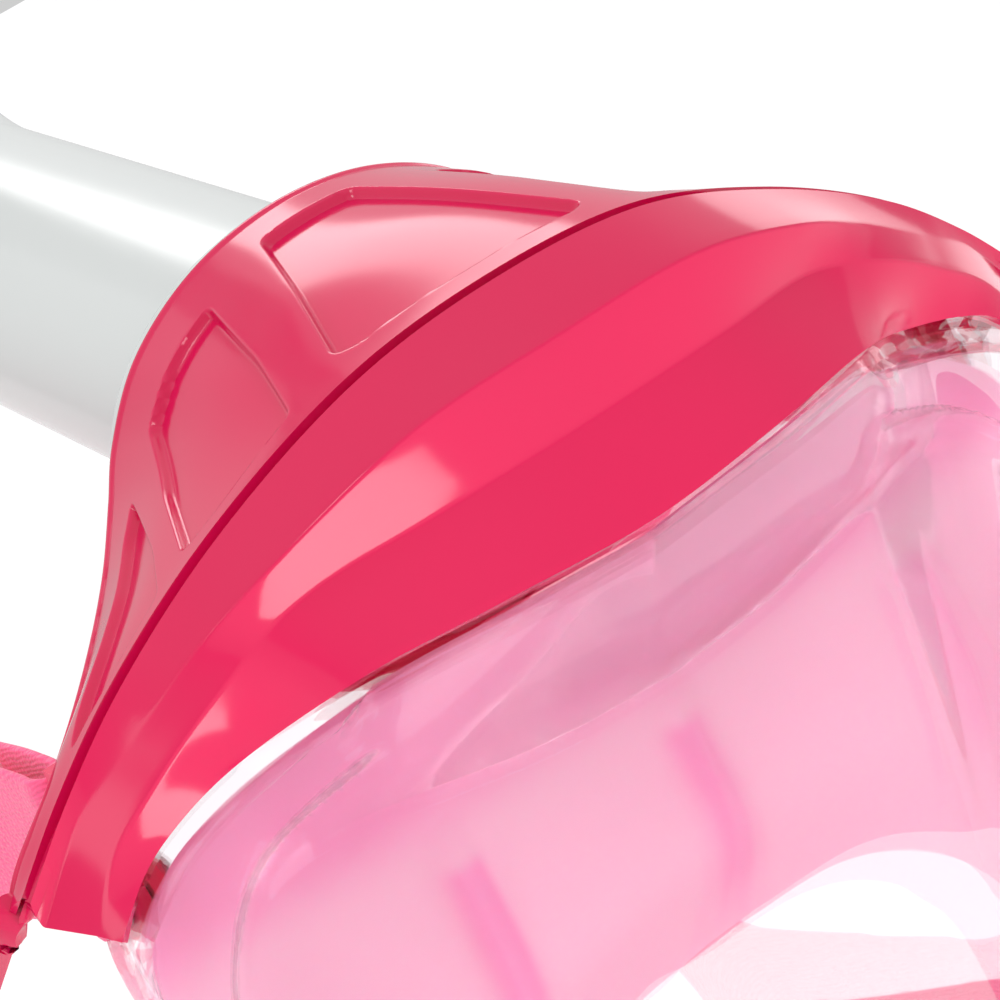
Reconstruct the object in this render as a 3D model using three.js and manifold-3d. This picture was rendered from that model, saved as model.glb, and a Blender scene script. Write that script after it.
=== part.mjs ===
// Full face snorkel: a clear front window in a faceted top band and a chin frame, a face skirt with an inner
// nose cup, valves, a crown that takes an oval snorkel tube with a float dry top, and a five point harness.
// Millimetres, +Z up as worn, -Y to the front. The origin is the centre of the face opening.
import * as THREE from 'three';
import { mergeVertices } from 'three/addons/utils/BufferGeometryUtils.js';
import Module from 'manifold-3d';

const wasm = await Module();
wasm.setup();

// ---------------------------------------------------------------- driving dimensions
const SHELL_WALL = 2.4;        // moulded pink shells
const LENS_WALL = 2.6;
const LENS_DROP = 2.7;         // the lens stands this far below the band's lower edge
const SKIRT_WALL = 2.2;
const CUP_WALL = 1.8;
const GAP = 0.4;               // clearance left between neighbouring pieces
const OVAL_SIDES = 28;
const ROUND_SIDES = 20;
const ARCH_STEPS = 40;         // stations along an arch from side to side
const LOOP_STEPS = 48;         // stations round a closed loop of the face

const TUBE_LEAN = 22.6;        // degrees above horizontal at the socket
const RIM_CENTRE = [0, 20.6, 162.3];
const RIM_HALF = [39, 30.6];   // half width and half height of the crown's oval rim
const TUBE_HALF = [25.7, 20.2];
const TUBE_WALL = 2.2;
const TUBE_STRAIGHT = 104;     // from the rim to the start of the elbow
const ELBOW_RADIUS = 46;
const TUBE_TOP_Z = 332;
const SPIGOT_LENGTH = 24;      // tube inside the socket
const DRY_TOP_HEIGHT = 74;
const TAPER = 0.13;            // share of the section lost between the socket and the elbow

const STRAP_WIDTH = 25;
const STRAP_WALL = 2.6;

// ---------------------------------------------------------------- materials
function plastic(colour, roughness, opacity = 1) {
  const look = new THREE.MeshStandardMaterial({ color: colour, roughness, metalness: 0 });
  look.opacity = opacity;
  look.transparent = opacity < 1;
  return look;
}

const pinkShell = plastic(0xec3463, 0.22);
const whiteShell = plastic(0xdfe3e2, 0.25);
const clearLens = plastic(0xfaf2f5, 0.05, 0.35);
const skirtSilicone = plastic(0xf7b2cd, 0.45, 0.7);
const valveRubber = plastic(0xe8e4e4, 0.6);
const strapFabric = plastic(0xff5f91, 0.95);
const pinkClip = plastic(0xe4285a, 0.35);
const steel = new THREE.MeshStandardMaterial({ color: 0xb8bcc0, roughness: 0.35, metalness: 1 });
const sealRubber = plastic(0x55585c, 0.7);
const floatFoam = plastic(0xf3a03c, 0.6);

const object = new THREE.Group();

function addPart(name, geometry, material) {
  const mesh = new THREE.Mesh(geometry, material);
  mesh.name = name;
  object.add(mesh);
  return mesh;
}

// ---------------------------------------------------------------- curves and surfaces
const vec = ([x, y, z]) => new THREE.Vector3(x, y, z);

// One half of a symmetric line, from the middle outwards, becomes the whole line from -X to +X.
function bothSides(half) {
  const other = half.filter(([x]) => x > 0).reverse().map(([x, y, z]) => [-x, y, z]);
  return [...other, ...half];
}

function smoothLine(points, steps) {
  return new THREE.CatmullRomCurve3(points.map(vec)).getSpacedPoints(steps);
}

// A symmetric closed loop given by its half from the top middle to the bottom middle.
function smoothLoop(half, steps = LOOP_STEPS) {
  const right = smoothLine(half, steps / 2);
  const left = right.slice(1, -1).reverse().map(p => new THREE.Vector3(-p.x, p.y, p.z));
  return [...right, ...left];
}

// A surface through rows of points. wrap joins each row's end to its start, pole adds one closing point.
function gridSurface(rows, { wrap = false, pole = null } = {}) {
  const across = rows[0].length;
  const points = rows.flat();
  const triangles = [];
  const lastColumn = wrap ? across : across - 1;
  for (let r = 0; r + 1 < rows.length; r++) {
    for (let c = 0; c < lastColumn; c++) {
      const next = (c + 1) % across;
      const a = r * across + c;
      const b = r * across + next;
      const d = (r + 1) * across + c;
      const e = (r + 1) * across + next;
      triangles.push([a, d, b], [b, d, e]);
    }
  }
  if (pole) {
    points.push(pole);
    const top = (rows.length - 1) * across;
    for (let c = 0; c < lastColumn; c++) triangles.push([top + c, points.length - 1, top + (c + 1) % across]);
  }
  return { points, triangles };
}

function geometryOf(points, triangles) {
  const geometry = new THREE.BufferGeometry();
  geometry.setAttribute('position', new THREE.Float32BufferAttribute(points.flatMap(p => [p.x, p.y, p.z]), 3));
  geometry.setIndex(triangles.flat());
  return geometry;
}

function surfaceNormals({ points, triangles }) {
  const geometry = geometryOf(points, triangles);
  geometry.computeVertexNormals();
  const normal = geometry.attributes.normal;
  return points.map((_, i) => new THREE.Vector3().fromBufferAttribute(normal, i));
}

function volumeOf(points, triangles) {
  return triangles.reduce((sum, [a, b, c]) =>
    sum + points[a].dot(new THREE.Vector3().crossVectors(points[b], points[c])) / 6, 0);
}

function closedGeometry(points, triangles) {
  const faces = volumeOf(points, triangles) < 0 ? triangles.map(([a, b, c]) => [a, c, b]) : triangles;
  return geometryOf(points, faces);
}

// A sheet becomes a wall: a copy is set off by depth along the normals and the open edges are closed.
function thicken(surface, depth) {
  const normals = surfaceNormals(surface);
  const count = surface.points.length;
  const inner = surface.points.map((p, i) => p.clone().addScaledVector(normals[i], -depth));
  const innerTriangles = surface.triangles.map(([a, b, c]) => [a + count, c + count, b + count]);
  const triangles = [...surface.triangles, ...innerTriangles];
  const edges = new Map();
  for (const [a, b, c] of surface.triangles) {
    for (const [from, to] of [[a, b], [b, c], [c, a]]) {
      if (!edges.delete(`${to},${from}`)) edges.set(`${from},${to}`, [from, to]);
    }
  }
  for (const [from, to] of edges.values()) {
    triangles.push([to, from, from + count], [to, from + count, to + count]);
  }
  return closedGeometry([...surface.points, ...inner], triangles);
}

// Rings of equal count become a solid bar with flat ends.
function solidLoft(rings) {
  const { points, triangles } = gridSurface(rings, { wrap: true });
  const across = rings[0].length;
  const middle = ring => ring.reduce((sum, p) => sum.add(p), new THREE.Vector3()).divideScalar(across);
  const last = (rings.length - 1) * across;
  points.push(middle(rings[0]), middle(rings.at(-1)));
  for (let c = 0; c < across; c++) {
    const next = (c + 1) % across;
    triangles.push([c, next, points.length - 2]);
    triangles.push([last + next, last + c, points.length - 1]);
  }
  return closedGeometry(points, triangles);
}

// ---------------------------------------------------------------- boolean cuts
function toManifold(geometry) {
  const plain = geometry.clone();
  plain.deleteAttribute('normal');
  plain.deleteAttribute('uv');
  const merged = mergeVertices(plain, 1e-4);
  return new wasm.Manifold(new wasm.Mesh({
    numProp: 3,
    vertProperties: new Float32Array(merged.attributes.position.array),
    triVerts: new Uint32Array(merged.index.array),
  }));
}

function fromManifold(solid) {
  const mesh = solid.getMesh();
  const geometry = new THREE.BufferGeometry();
  geometry.setAttribute('position', new THREE.Float32BufferAttribute(mesh.vertProperties, 3));
  geometry.setIndex([...mesh.triVerts]);
  return geometry;
}

function cut(geometry, ...tools) {
  return fromManifold(tools.reduce((body, tool) => body.subtract(toManifold(tool)), toManifold(geometry)));
}

// ---------------------------------------------------------------- placed round shapes
// A matrix that carries local +Z to the given direction at the given place.
function placement(centre, direction) {
  const turn = new THREE.Quaternion().setFromUnitVectors(new THREE.Vector3(0, 0, 1), vec(direction).normalize());
  return new THREE.Matrix4().compose(vec(centre), turn, new THREE.Vector3(1, 1, 1));
}

function rod(radius, from, to, sides = ROUND_SIDES) {
  const shape = new THREE.CylinderGeometry(radius, radius, to - from, sides);
  return shape.rotateX(Math.PI / 2).translate(0, 0, (from + to) / 2);
}

// A turned ring or dish: profile points are [radius, height] and close on themselves or on the axis.
function turned(profile, sides = ROUND_SIDES) {
  const outline = profile.map(([r, h]) => new THREE.Vector2(r, h));
  const lathe = new THREE.LatheGeometry(outline, sides);
  lathe.deleteAttribute('normal');
  lathe.deleteAttribute('uv');
  const merged = mergeVertices(lathe, 1e-4);
  const points = [];
  for (let i = 0; i < merged.attributes.position.count; i++) {
    points.push(new THREE.Vector3().fromBufferAttribute(merged.attributes.position, i));
  }
  const triangles = [];
  const index = merged.index.array;
  for (let i = 0; i < index.length; i += 3) {
    const [a, b, c] = [index[i], index[i + 1], index[i + 2]];
    if (a !== b && b !== c && c !== a) triangles.push([a, b, c]);
  }
  return closedGeometry(points, triangles).rotateX(Math.PI / 2);
}

// ---------------------------------------------------------------- control lines of the front
const BAND_TOP = [[0, -40, 170.6], [25, -39, 168.5], [50, -30.7, 159.5], [70, -23.5, 148.2], [82, -17.6, 138.3],
  [91, -12.2, 129]];
const BAND_UPPER_CREASE = [[0, -47, 160.5], [25, -47.5, 160], [45, -41, 154.8], [60, -31.2, 148.7],
  [72, -24, 141.7], [82, -17.5, 135.2], [90.5, -10.5, 125.1]];
const BAND_LOWER_CREASE = [[0, -45, 148.3], [25, -43.7, 148.4], [46, -36.4, 147.6], [60, -32.2, 142.5],
  [72, -25.4, 135.5], [80, -20.3, 129.8], [86.4, -16, 121]];
const LENS_TOP_EDGE = [[0, -48.3, 132.7], [25, -47.5, 134.3], [45, -39.8, 134.8], [62, -24.6, 131.4],
  [72, -22, 128.4], [78, -20.9, 125.4], [84.8, -18.3, 119]];
const LENS_SIDE_EDGE = [[86, -14, 96], [85, -10, 60], [80, -9, 20], [71, -13, -22], [57, -22, -58],
  [36, -34, -82], [0, -42, -90]];
const WINDOW_CREASE = [[0, -31, 108.2], [20, -30.6, 109.6], [40, -29.2, 113], [52, -24, 114.5], [62, -20.5, 113.5],
  [70, -20, 108], [75.5, -20, 95], [77, -18, 60], [72, -18, 20], [63, -22, -20], [50, -31, -52],
  [31, -42, -74], [0, -49, -81]];
const WINDOW_CENTRE = [0, -52, 15];
const SKIRT_CLAMP = [[0, -40.5, 128.5], [25, -39.5, 130], [45, -32, 130], [60, -19, 126.5], [72, -15, 122],
  [79, -12, 114], [81, -9, 95], [80, -5, 60], [75, -4, 20], [66, -8, -20], [52.5, -17, -54], [33, -29, -76],
  [0, -36.5, -84]];
const SKIRT_SHOULDER = [[0, -24, 107], [20, -23.5, 108], [40, -21, 108.5], [55, -14, 108], [66, -8, 103],
  [72, -3, 88], [72, 2, 60], [67, 4, 20], [58, 1, -18], [46, -8, -48], [28, -19, -68], [0, -26, -76]];
const SKIRT_ROLL = [[0, -22, 85], [20, -21.5, 84.5], [38, -18, 80], [53, -9, 69], [63, 1, 45], [66, 7, 15],
  [63, 7, -15], [52, 0, -43], [31, -10, -63], [0, -17, -73]];
const FACE_OPENING = [[0, -8, 70], [20, -9, 69], [33, -7.5, 63], [46, -1, 50], [56, 9, 28], [60, 15, 0],
  [57, 15, -25], [46, 9, -50], [26, -1, -66], [0, -6, -71]];

const CUP_RIM = [[0, -9, 12], [14, -3, 3], [26, 5, -18], [32, 8, -38], [27, 5, -55], [13, 0, -64], [0, -2, -66]];
const CUP_FRONT = [0, -37, -33];

const INHALE_RADIUS = 7;
const INHALE_PLACE = [17, -13.5, -20];
const INHALE_OUT = [-0.84, 0.48, -0.25];
const EXHAUST_RADIUS = 8;
const EXHAUST_PLACE = [52, -29.5, -22];
const EXHAUST_OUT = [0.6, -0.8, 0];
const CHIN_VALVE_RADIUS = 10;
const CHIN_VALVE_PLACE = [0, -50.5, -56];
const COVER_RISE = 1;          // a valve cover's height over its valve's radius
const BORE_PLAY = 0.9;         // clearance all round the tube in its socket

function mirrorX([x, y, z], sign) {
  return [x * sign, y, z];
}

// ---------------------------------------------------------------- front window
function windowRow(step) {
  const centre = vec(WINDOW_CENTRE);
  const swell = Math.sin(step * Math.PI / 2);
  return smoothLoop(WINDOW_CREASE).map(p => new THREE.Vector3(
    p.x * (1 - step), p.y + (centre.y - p.y) * swell, p.z + (centre.z - p.z) * step));
}

const loweredTop = LENS_TOP_EDGE.map(([x, y, z]) => [x, y, z - LENS_DROP]);
const lensEdge = smoothLoop([...loweredTop, ...LENS_SIDE_EDGE]);
const lensSurface = gridSurface([lensEdge, windowRow(0), windowRow(0.16), windowRow(0.4), windowRow(0.7)],
  { wrap: true, pole: vec(WINDOW_CENTRE) });
const lensBlank = thicken(lensSurface, LENS_WALL);

// ---------------------------------------------------------------- front band and crown
function archRow(half, steps = ARCH_STEPS) {
  return smoothLine(bothSides(half), steps);
}

const bandRows = [BAND_TOP, BAND_UPPER_CREASE, BAND_LOWER_CREASE, LENS_TOP_EDGE].map(line => archRow(line));
const bandSurface = gridSurface(bandRows);
addPart('front_band', thicken(bandSurface, SHELL_WALL), pinkShell);

const lean = THREE.MathUtils.degToRad(TUBE_LEAN);
const tubeAxis = new THREE.Vector3(0, Math.cos(lean), Math.sin(lean));
const rimUp = new THREE.Vector3(0, -Math.sin(lean), Math.cos(lean));

// A point of an oval square to the tube, angle 0 at its upper front, at a distance along the tube from the rim.
function ovalPoint(half, along, angle) {
  return vec(RIM_CENTRE)
    .addScaledVector(tubeAxis, along)
    .addScaledVector(rimUp, half[1] * Math.cos(angle))
    .add(new THREE.Vector3(half[0] * Math.sin(angle), 0, 0));
}

function ovalRing(half, along, sides = OVAL_SIDES) {
  return Array.from({ length: sides }, (_, i) => ovalPoint(half, along, 2 * Math.PI * i / sides));
}

const CROWN_ARM_BACK = [[42, 15, 165.5], [51, 9, 157.5], [66, -1, 147.6], [77, -4, 139.8], [88, -2, 130.8],
  [92, 0, 124]];
const CROWN_TAIL = [0, 12, -5.5];   // the arm's thin tail runs on past the band's end
const RIM_FRONT_ANGLES = [0, 24, 48, 70];
const rimFront = RIM_FRONT_ANGLES.map(a => ovalPoint(RIM_HALF, 0, THREE.MathUtils.degToRad(a)).toArray());
const crownBack = archRow([...rimFront, ...CROWN_ARM_BACK]);
const CROWN_STEP = [0, 2.9, 0.8];   // from the band's top edge back to the crown's front edge, flush above
const crownFront = bandRows[0].map(p => p.clone().add(vec(CROWN_STEP)));
const crownMiddle = crownFront.map((p, i) => p.clone().lerp(crownBack[i], 0.5).setZ(
  (p.z + crownBack[i].z) / 2 + 1.5));

function withTails(row) {
  const tail = vec(CROWN_TAIL);
  return [row[0].clone().add(tail), ...row, row.at(-1).clone().add(tail)];
}

const crownRows = [crownBack, crownMiddle, crownFront].map(withTails);
addPart('crown', thicken(gridSurface(crownRows), SHELL_WALL), pinkShell);

// ---------------------------------------------------------------- chin frame
const CHIN_LIP = [[0, -49, -90], [35, -41.5, -81.5], [56, -29, -58], [70.5, -20, -21], [80, -16.5, 21],
  [85.3, -17, 60], [86, -21, 93]];
const CHIN_FRONT = [[0, -46, -94], [37.5, -38, -85.5], [60, -25.5, -61], [74.5, -16, -23], [84, -12.5, 20],
  [89, -13, 60], [90, -17, 93]];
const CHIN_BACK = [[0, -30, -95], [37, -21, -86.5], [59.5, -9, -62], [74, 1, -24], [83.5, 5, 19], [88.5, 4, 60],
  [89.5, 0, 93]];
const chinRows = [CHIN_LIP, CHIN_FRONT, CHIN_BACK].map(line => archRow(line, 36));
const chinBlank = thicken(gridSurface(chinRows), SHELL_WALL);

// Four screws hold the chin frame to the edge of the window, two on each side.
const SCREW_RADIUS = 1.5;
const SCREW_REACH = 4.5;
const SCREW_HEAD_RADIUS = 2.9;
const SCREW_HEAD_HEIGHT = 1.4;
const SCREW_SEATS = { upper: [90.1, -2, 78], middle: [86.7, 0, 34] };
const screwHoles = [];
for (const [place, [x, y, z]] of Object.entries(SCREW_SEATS)) {
  for (const [side, sign] of [['left', 1], ['right', -1]]) {
    const stand = placement([sign * x, y, z], [sign, 0, 0]);
    screwHoles.push(rod(SCREW_RADIUS + GAP, -8, 4, 12).applyMatrix4(stand));
    const screw = toManifold(rod(SCREW_RADIUS, -SCREW_REACH, 0.5, 12))
      .add(toManifold(rod(SCREW_HEAD_RADIUS, 0, SCREW_HEAD_HEIGHT, 16)));
    addPart(`chin_screw_${place}_${side}`, fromManifold(screw).applyMatrix4(stand), steel);
  }
}
addPart('chin_frame', cut(chinBlank, ...screwHoles), pinkShell);

// ---------------------------------------------------------------- skirt and nose cup
const skirtRows = [SKIRT_CLAMP, SKIRT_SHOULDER, SKIRT_ROLL, FACE_OPENING].map(line => smoothLoop(line));
addPart('skirt', thicken(gridSurface(skirtRows, { wrap: true }), SKIRT_WALL), skirtSilicone);

function cupRow(step) {
  return smoothLoop(CUP_RIM, 36).map(p => new THREE.Vector3(
    p.x * (1 - step),
    p.y + (CUP_FRONT[1] - p.y) * Math.sin(step * Math.PI / 2),
    p.z + (CUP_FRONT[2] - p.z) * step));
}

const cupRows = [0, 0.12, 0.3, 0.55, 0.8].map(cupRow);
const cupBlank = thicken(gridSurface(cupRows, { wrap: true, pole: vec(CUP_FRONT) }), CUP_WALL);

// ---------------------------------------------------------------- valves
// Local +Z points the way the air leaves. The seat's barrel fills the hole, its lip lies outside the wall.
const LIP_HEIGHT = 2.6;
const FLAP_GAP = 0.3;
const FLAP_WALL = 0.8;
const SEAT_REACH = 4.5;        // a seat's barrel runs this far inside the wall
const SEAT_WALL = 2.4;
const SPOKE_SIZE = 1.6;
const COVER_SLOT = [2.2, 6];   // width and depth of a slot
const COVER_SLOT_STEP = 4.6;
const COVER_FOOT = 0.9;        // a cover stands this far off the wall
const COVER_WALL = 2.2;
const COVER_TOP = 1.8;
const COVER_CHAMFER = 2.5;

function valveHole(valve) {
  return rod(valve.radius + GAP, -14, 14).applyMatrix4(placement(valve.centre, valve.out));
}

function addValve(valve) {
  const place = placement(valve.centre, valve.out);
  const barrel = valve.radius;
  const bore = barrel - SEAT_WALL;
  const ring = turned([[bore, -SEAT_REACH], [barrel, -SEAT_REACH], [barrel, LIP_HEIGHT], [bore, LIP_HEIGHT],
    [bore, -SEAT_REACH]]);
  const spoke = new THREE.BoxGeometry(2 * bore + SEAT_WALL, SPOKE_SIZE, SPOKE_SIZE).translate(0, 0, -1);
  const crossSpoke = spoke.clone().rotateZ(Math.PI / 2);
  const seat = toManifold(ring).add(toManifold(spoke)).add(toManifold(crossSpoke));
  addPart(`${valve.name}_seat`, fromManifold(seat).applyMatrix4(place), whiteShell);
  const flap = rod(barrel - 0.5, LIP_HEIGHT + FLAP_GAP, LIP_HEIGHT + FLAP_GAP + FLAP_WALL);
  addPart(`${valve.name}_flap`, flap.applyMatrix4(place), valveRubber);
}

// A slotted dome stands over each outer valve and leaves room for its flap to lift.
function addValveCover(valve) {
  const inner = valve.radius + 1.4;
  const outer = inner + COVER_WALL;
  const height = valve.radius + COVER_RISE;
  const dome = turned([[inner, COVER_FOOT], [outer, COVER_FOOT], [outer, height - COVER_CHAMFER],
    [outer - COVER_CHAMFER, height], [0, height], [0, height - COVER_TOP], [valve.radius, height - COVER_TOP],
    [inner, height - 2 * COVER_TOP], [inner, COVER_FOOT]]);
  const slots = [-1, 0, 1].map(i => new THREE.BoxGeometry(2 * valve.radius, ...COVER_SLOT)
    .translate(0, i * COVER_SLOT_STEP, height));
  const place = placement(valve.centre, valve.out);
  addPart(`${valve.name}_cover`, cut(dome, ...slots).applyMatrix4(place), pinkShell);
}

const cupHoles = [];
const lensHoles = [];
for (const [side, sign] of [['left', 1], ['right', -1]]) {
  const inhale = { name: `inhale_valve_${side}`, radius: INHALE_RADIUS,
    centre: mirrorX(INHALE_PLACE, sign), out: mirrorX(INHALE_OUT, sign) };
  const exhaust = { name: `exhaust_valve_${side}`, radius: EXHAUST_RADIUS,
    centre: mirrorX(EXHAUST_PLACE, sign), out: mirrorX(EXHAUST_OUT, sign) };
  addValve(inhale);
  addValve(exhaust);
  addValveCover(exhaust);
  cupHoles.push(valveHole(inhale));
  lensHoles.push(valveHole(exhaust));
}
const drain = { name: 'chin_valve', radius: CHIN_VALVE_RADIUS, centre: CHIN_VALVE_PLACE, out: [0, -1, 0] };
addValve(drain);
addValveCover(drain);
addPart('nose_cup', cut(cupBlank, ...cupHoles), skirtSilicone);
addPart('lens', cut(lensBlank, ...lensHoles, valveHole(drain)), clearLens);

// ---------------------------------------------------------------- snorkel socket
function ovalSleeve(name, outerStations, inner, from, to, material) {
  const outside = outerStations.map(([along, half]) => ovalRing(half, along));
  const inside = [to, from].map(along => ovalRing(inner, along));
  const rows = [...outside, ...inside, outside[0]];
  const { points, triangles } = gridSurface(rows, { wrap: true });
  return addPart(name, mergeVertices(closedGeometry(points, triangles), 1e-4), material);
}

const socketBore = TUBE_HALF.map(h => h + BORE_PLAY);
const SOCKET_HALF = [33, 26.4];
const SOCKET_FOOT = -SPIGOT_LENGTH - 2;
ovalSleeve('snorkel_socket', [[SOCKET_FOOT, SOCKET_HALF], [-1, SOCKET_HALF]], socketBore, SOCKET_FOOT, -1, pinkShell);

// The white collar closes the gap between the crown's rim and the tube; the release button runs through it.
const COLLAR_LENGTH = 13;
const BUTTON_ALONG = 6;
const BUTTON_RADIUS = 4;
const BUTTON_HEAD = 7;
const BUTTON_HEAD_FROM = 29.4;
const SPRING_SEAT = 24.8;

const collar = ovalSleeve('collar', [[-0.6, [35, 26.6]], [1.6, [35, 26.6]], [1.9, [37.6, 29.2]],
  [4.5, [36.4, 28.2]], [9, [31.6, 25]], [COLLAR_LENGTH, [28, 22.4]]], socketBore, -0.6, COLLAR_LENGTH, whiteShell);
const buttonFoot = ovalPoint([0, 0], BUTTON_ALONG, 0).toArray();
const buttonPlace = placement(buttonFoot, rimUp.clone().negate().toArray());
const buttonBore = rod(BUTTON_RADIUS + GAP, 15, 40).applyMatrix4(buttonPlace);
const springWell = rod(BUTTON_HEAD, SPRING_SEAT, 40).applyMatrix4(buttonPlace);
collar.geometry = cut(collar.geometry, buttonBore, springWell);

const button = toManifold(rod(BUTTON_RADIUS, 22.6, BUTTON_HEAD_FROM + 1))
  .add(toManifold(rod(BUTTON_HEAD - 0.4, BUTTON_HEAD_FROM, BUTTON_HEAD_FROM + 2.2)));
addPart('release_button', fromManifold(button).applyMatrix4(buttonPlace), pinkClip);
const SPRING_RADII = [4.8, 6.3];
const SPRING_FOOT = SPRING_SEAT + 0.3;
const SPRING_TOP = 27.4;
const spring = turned([[SPRING_RADII[0], SPRING_FOOT], [SPRING_RADII[1], SPRING_FOOT],
  [SPRING_RADII[1], SPRING_TOP], [SPRING_RADII[0], SPRING_TOP], [SPRING_RADII[0], SPRING_FOOT]]);
addPart('release_spring', spring.applyMatrix4(buttonPlace), steel);

// ---------------------------------------------------------------- crown back
// A panel behind the socket, from the lower half of the rim down to the forehead.
const CROWN_BACK_LOW = [[0, 24, 118], [20, 21, 124], [36, 14, 137], [46, 6, 149]];
const BACK_RIM_HALF = [37, 28.2];
const BACK_RIM_ANGLES = [180, 150, 120, 92];
const backRim = BACK_RIM_ANGLES.map(a => ovalPoint(BACK_RIM_HALF, -3.5, THREE.MathUtils.degToRad(a)).toArray());
const backRows = [archRow(CROWN_BACK_LOW, 24), archRow(backRim, 24)];
addPart('crown_back', thicken(gridSurface(backRows), -2), pinkShell);

// ---------------------------------------------------------------- snorkel
// Stations along the tube's middle: in the socket, straight out, round the elbow, then straight up.
function tubeStation(place, heading, half) {
  const up = new THREE.Vector3(0, -Math.sin(heading), Math.cos(heading));
  return { place, up, half };
}

const tubeHalfAt = share => TUBE_HALF.map(h => h * (1 - TAPER * share));
const elbowStart = ovalPoint([0, 0], TUBE_STRAIGHT, 0);
const ELBOW_STEPS = 8;
const tubeStations = [];
for (const along of [-SPIGOT_LENGTH, -18.4, -14.6, -11, 4]) {
  tubeStations.push(tubeStation(ovalPoint([0, 0], along, 0), lean, TUBE_HALF));
}
for (let along = 20; along < TUBE_STRAIGHT - 8; along += 20) {
  tubeStations.push(tubeStation(ovalPoint([0, 0], along, 0), lean, tubeHalfAt(along / TUBE_STRAIGHT)));
}
for (let i = 0; i <= ELBOW_STEPS; i++) {
  const heading = lean + (Math.PI / 2 - lean) * i / ELBOW_STEPS;
  const place = new THREE.Vector3(0,
    elbowStart.y + ELBOW_RADIUS * (Math.sin(heading) - Math.sin(lean)),
    elbowStart.z + ELBOW_RADIUS * (Math.cos(lean) - Math.cos(heading)));
  tubeStations.push(tubeStation(place, heading, tubeHalfAt(1)));
}
const riserFoot = tubeStations.at(-1).place;
tubeStations.push(tubeStation(new THREE.Vector3(0, riserFoot.y, TUBE_TOP_Z), Math.PI / 2, tubeHalfAt(1)));

function stationRing({ place, up, half }, sides = OVAL_SIDES) {
  return Array.from({ length: sides }, (_, i) => {
    const angle = -2 * Math.PI * i / sides;
    return place.clone().addScaledVector(up, half[1] * Math.cos(angle))
      .add(new THREE.Vector3(half[0] * Math.sin(angle), 0, 0));
  });
}

const tubeSurface = gridSurface(tubeStations.map(station => stationRing(station)), { wrap: true });
addPart('snorkel_tube', thicken(tubeSurface, TUBE_WALL), whiteShell);

// A thin web down the middle keeps breathed air apart from fresh air.
const WEB_WALL = 1.4;
const webRings = tubeStations.slice(1).map(({ place, up, half }) => {
  const reach = half[0] - TUBE_WALL - 0.9;
  return [[-1, -1], [1, -1], [1, 1], [-1, 1]].map(([across, over]) =>
    place.clone().addScaledVector(up, over * WEB_WALL / 2).add(new THREE.Vector3(across * reach, 0, 0)));
});
addPart('tube_divider', solidLoft(webRings), whiteShell);

// ---------------------------------------------------------------- dry top
const riserY = riserFoot.y;
const HOUSING_FOOT = TUBE_TOP_Z + GAP;
const HOUSING_TOP = HOUSING_FOOT + DRY_TOP_HEIGHT;

function flatOval(half, z) {
  return stationRing({ place: new THREE.Vector3(0, riserY, z), up: new THREE.Vector3(0, -1, 0), half });
}

const HOUSING_WALL = 2;
const CAP_SKIRT = 14;          // the cap reaches this far down over the housing
const housingSurface = gridSurface([
  flatOval([21, 16.4], HOUSING_FOOT), flatOval([25, 21], HOUSING_FOOT + 5),
  flatOval([29, 25.5], HOUSING_FOOT + 16), flatOval([29.5, 26], HOUSING_TOP - CAP_SKIRT)], { wrap: true });

const VENT_SIZE = [20, 34, 5];
const VENT_X = 26;
const LOWEST_VENT = 28;        // height of the lowest vents over the housing's foot
const VENT_STEP = 9;
const ventBoxes = [-1, 1].flatMap(side => [0, 1, 2].map(row => new THREE.BoxGeometry(...VENT_SIZE)
  .translate(side * VENT_X, riserY, HOUSING_FOOT + LOWEST_VENT + row * VENT_STEP)));
addPart('dry_top_body', cut(thicken(housingSurface, HOUSING_WALL), ...ventBoxes), whiteShell);

const CAP_HALF = [30, 26.5];
const capRings = [
  flatOval(CAP_HALF, HOUSING_TOP - CAP_SKIRT + GAP), flatOval(CAP_HALF, HOUSING_TOP - 6),
  flatOval([27, 23.5], HOUSING_TOP - 1.5), flatOval([23, 19.5], HOUSING_TOP)];
addPart('dry_top_cap', solidLoft(capRings), pinkShell);

// A post on two crossed bars guides the float, which rises against the seal under the cap.
const POST_RADIUS = 2.6;
const POST_PLAY = 0.5;
const BAR_HEIGHT = 2.4;
const BAR_WIDTH = 3;
const post = rod(POST_RADIUS, HOUSING_FOOT + 2, HOUSING_TOP - CAP_SKIRT, 16).translate(0, riserY, 0);
const footBars = [new THREE.BoxGeometry(33, BAR_WIDTH, BAR_HEIGHT), new THREE.BoxGeometry(BAR_WIDTH, 26, BAR_HEIGHT)]
  .map(bar => bar.translate(0, riserY, HOUSING_FOOT + 3.4));
const guide = footBars.reduce((body, bar) => body.add(toManifold(bar)), toManifold(post));
addPart('float_guide', fromManifold(guide), whiteShell);

const FLOAT_FOOT = HOUSING_FOOT + 20;
const FLOAT_TOP = FLOAT_FOOT + 24;
const FLOAT_HALF = [24, 20.5];
const FLOAT_END_HALF = [20, 17];
const floatBore = rod(POST_RADIUS + POST_PLAY, FLOAT_FOOT - 1, FLOAT_TOP + 1, 16).translate(0, riserY, 0);
const floatBlank = solidLoft([flatOval(FLOAT_END_HALF, FLOAT_FOOT), flatOval(FLOAT_HALF, FLOAT_FOOT + 4),
  flatOval(FLOAT_HALF, FLOAT_TOP - 3), flatOval(FLOAT_END_HALF, FLOAT_TOP)]);
addPart('float', cut(floatBlank, floatBore), floatFoam);

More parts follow.
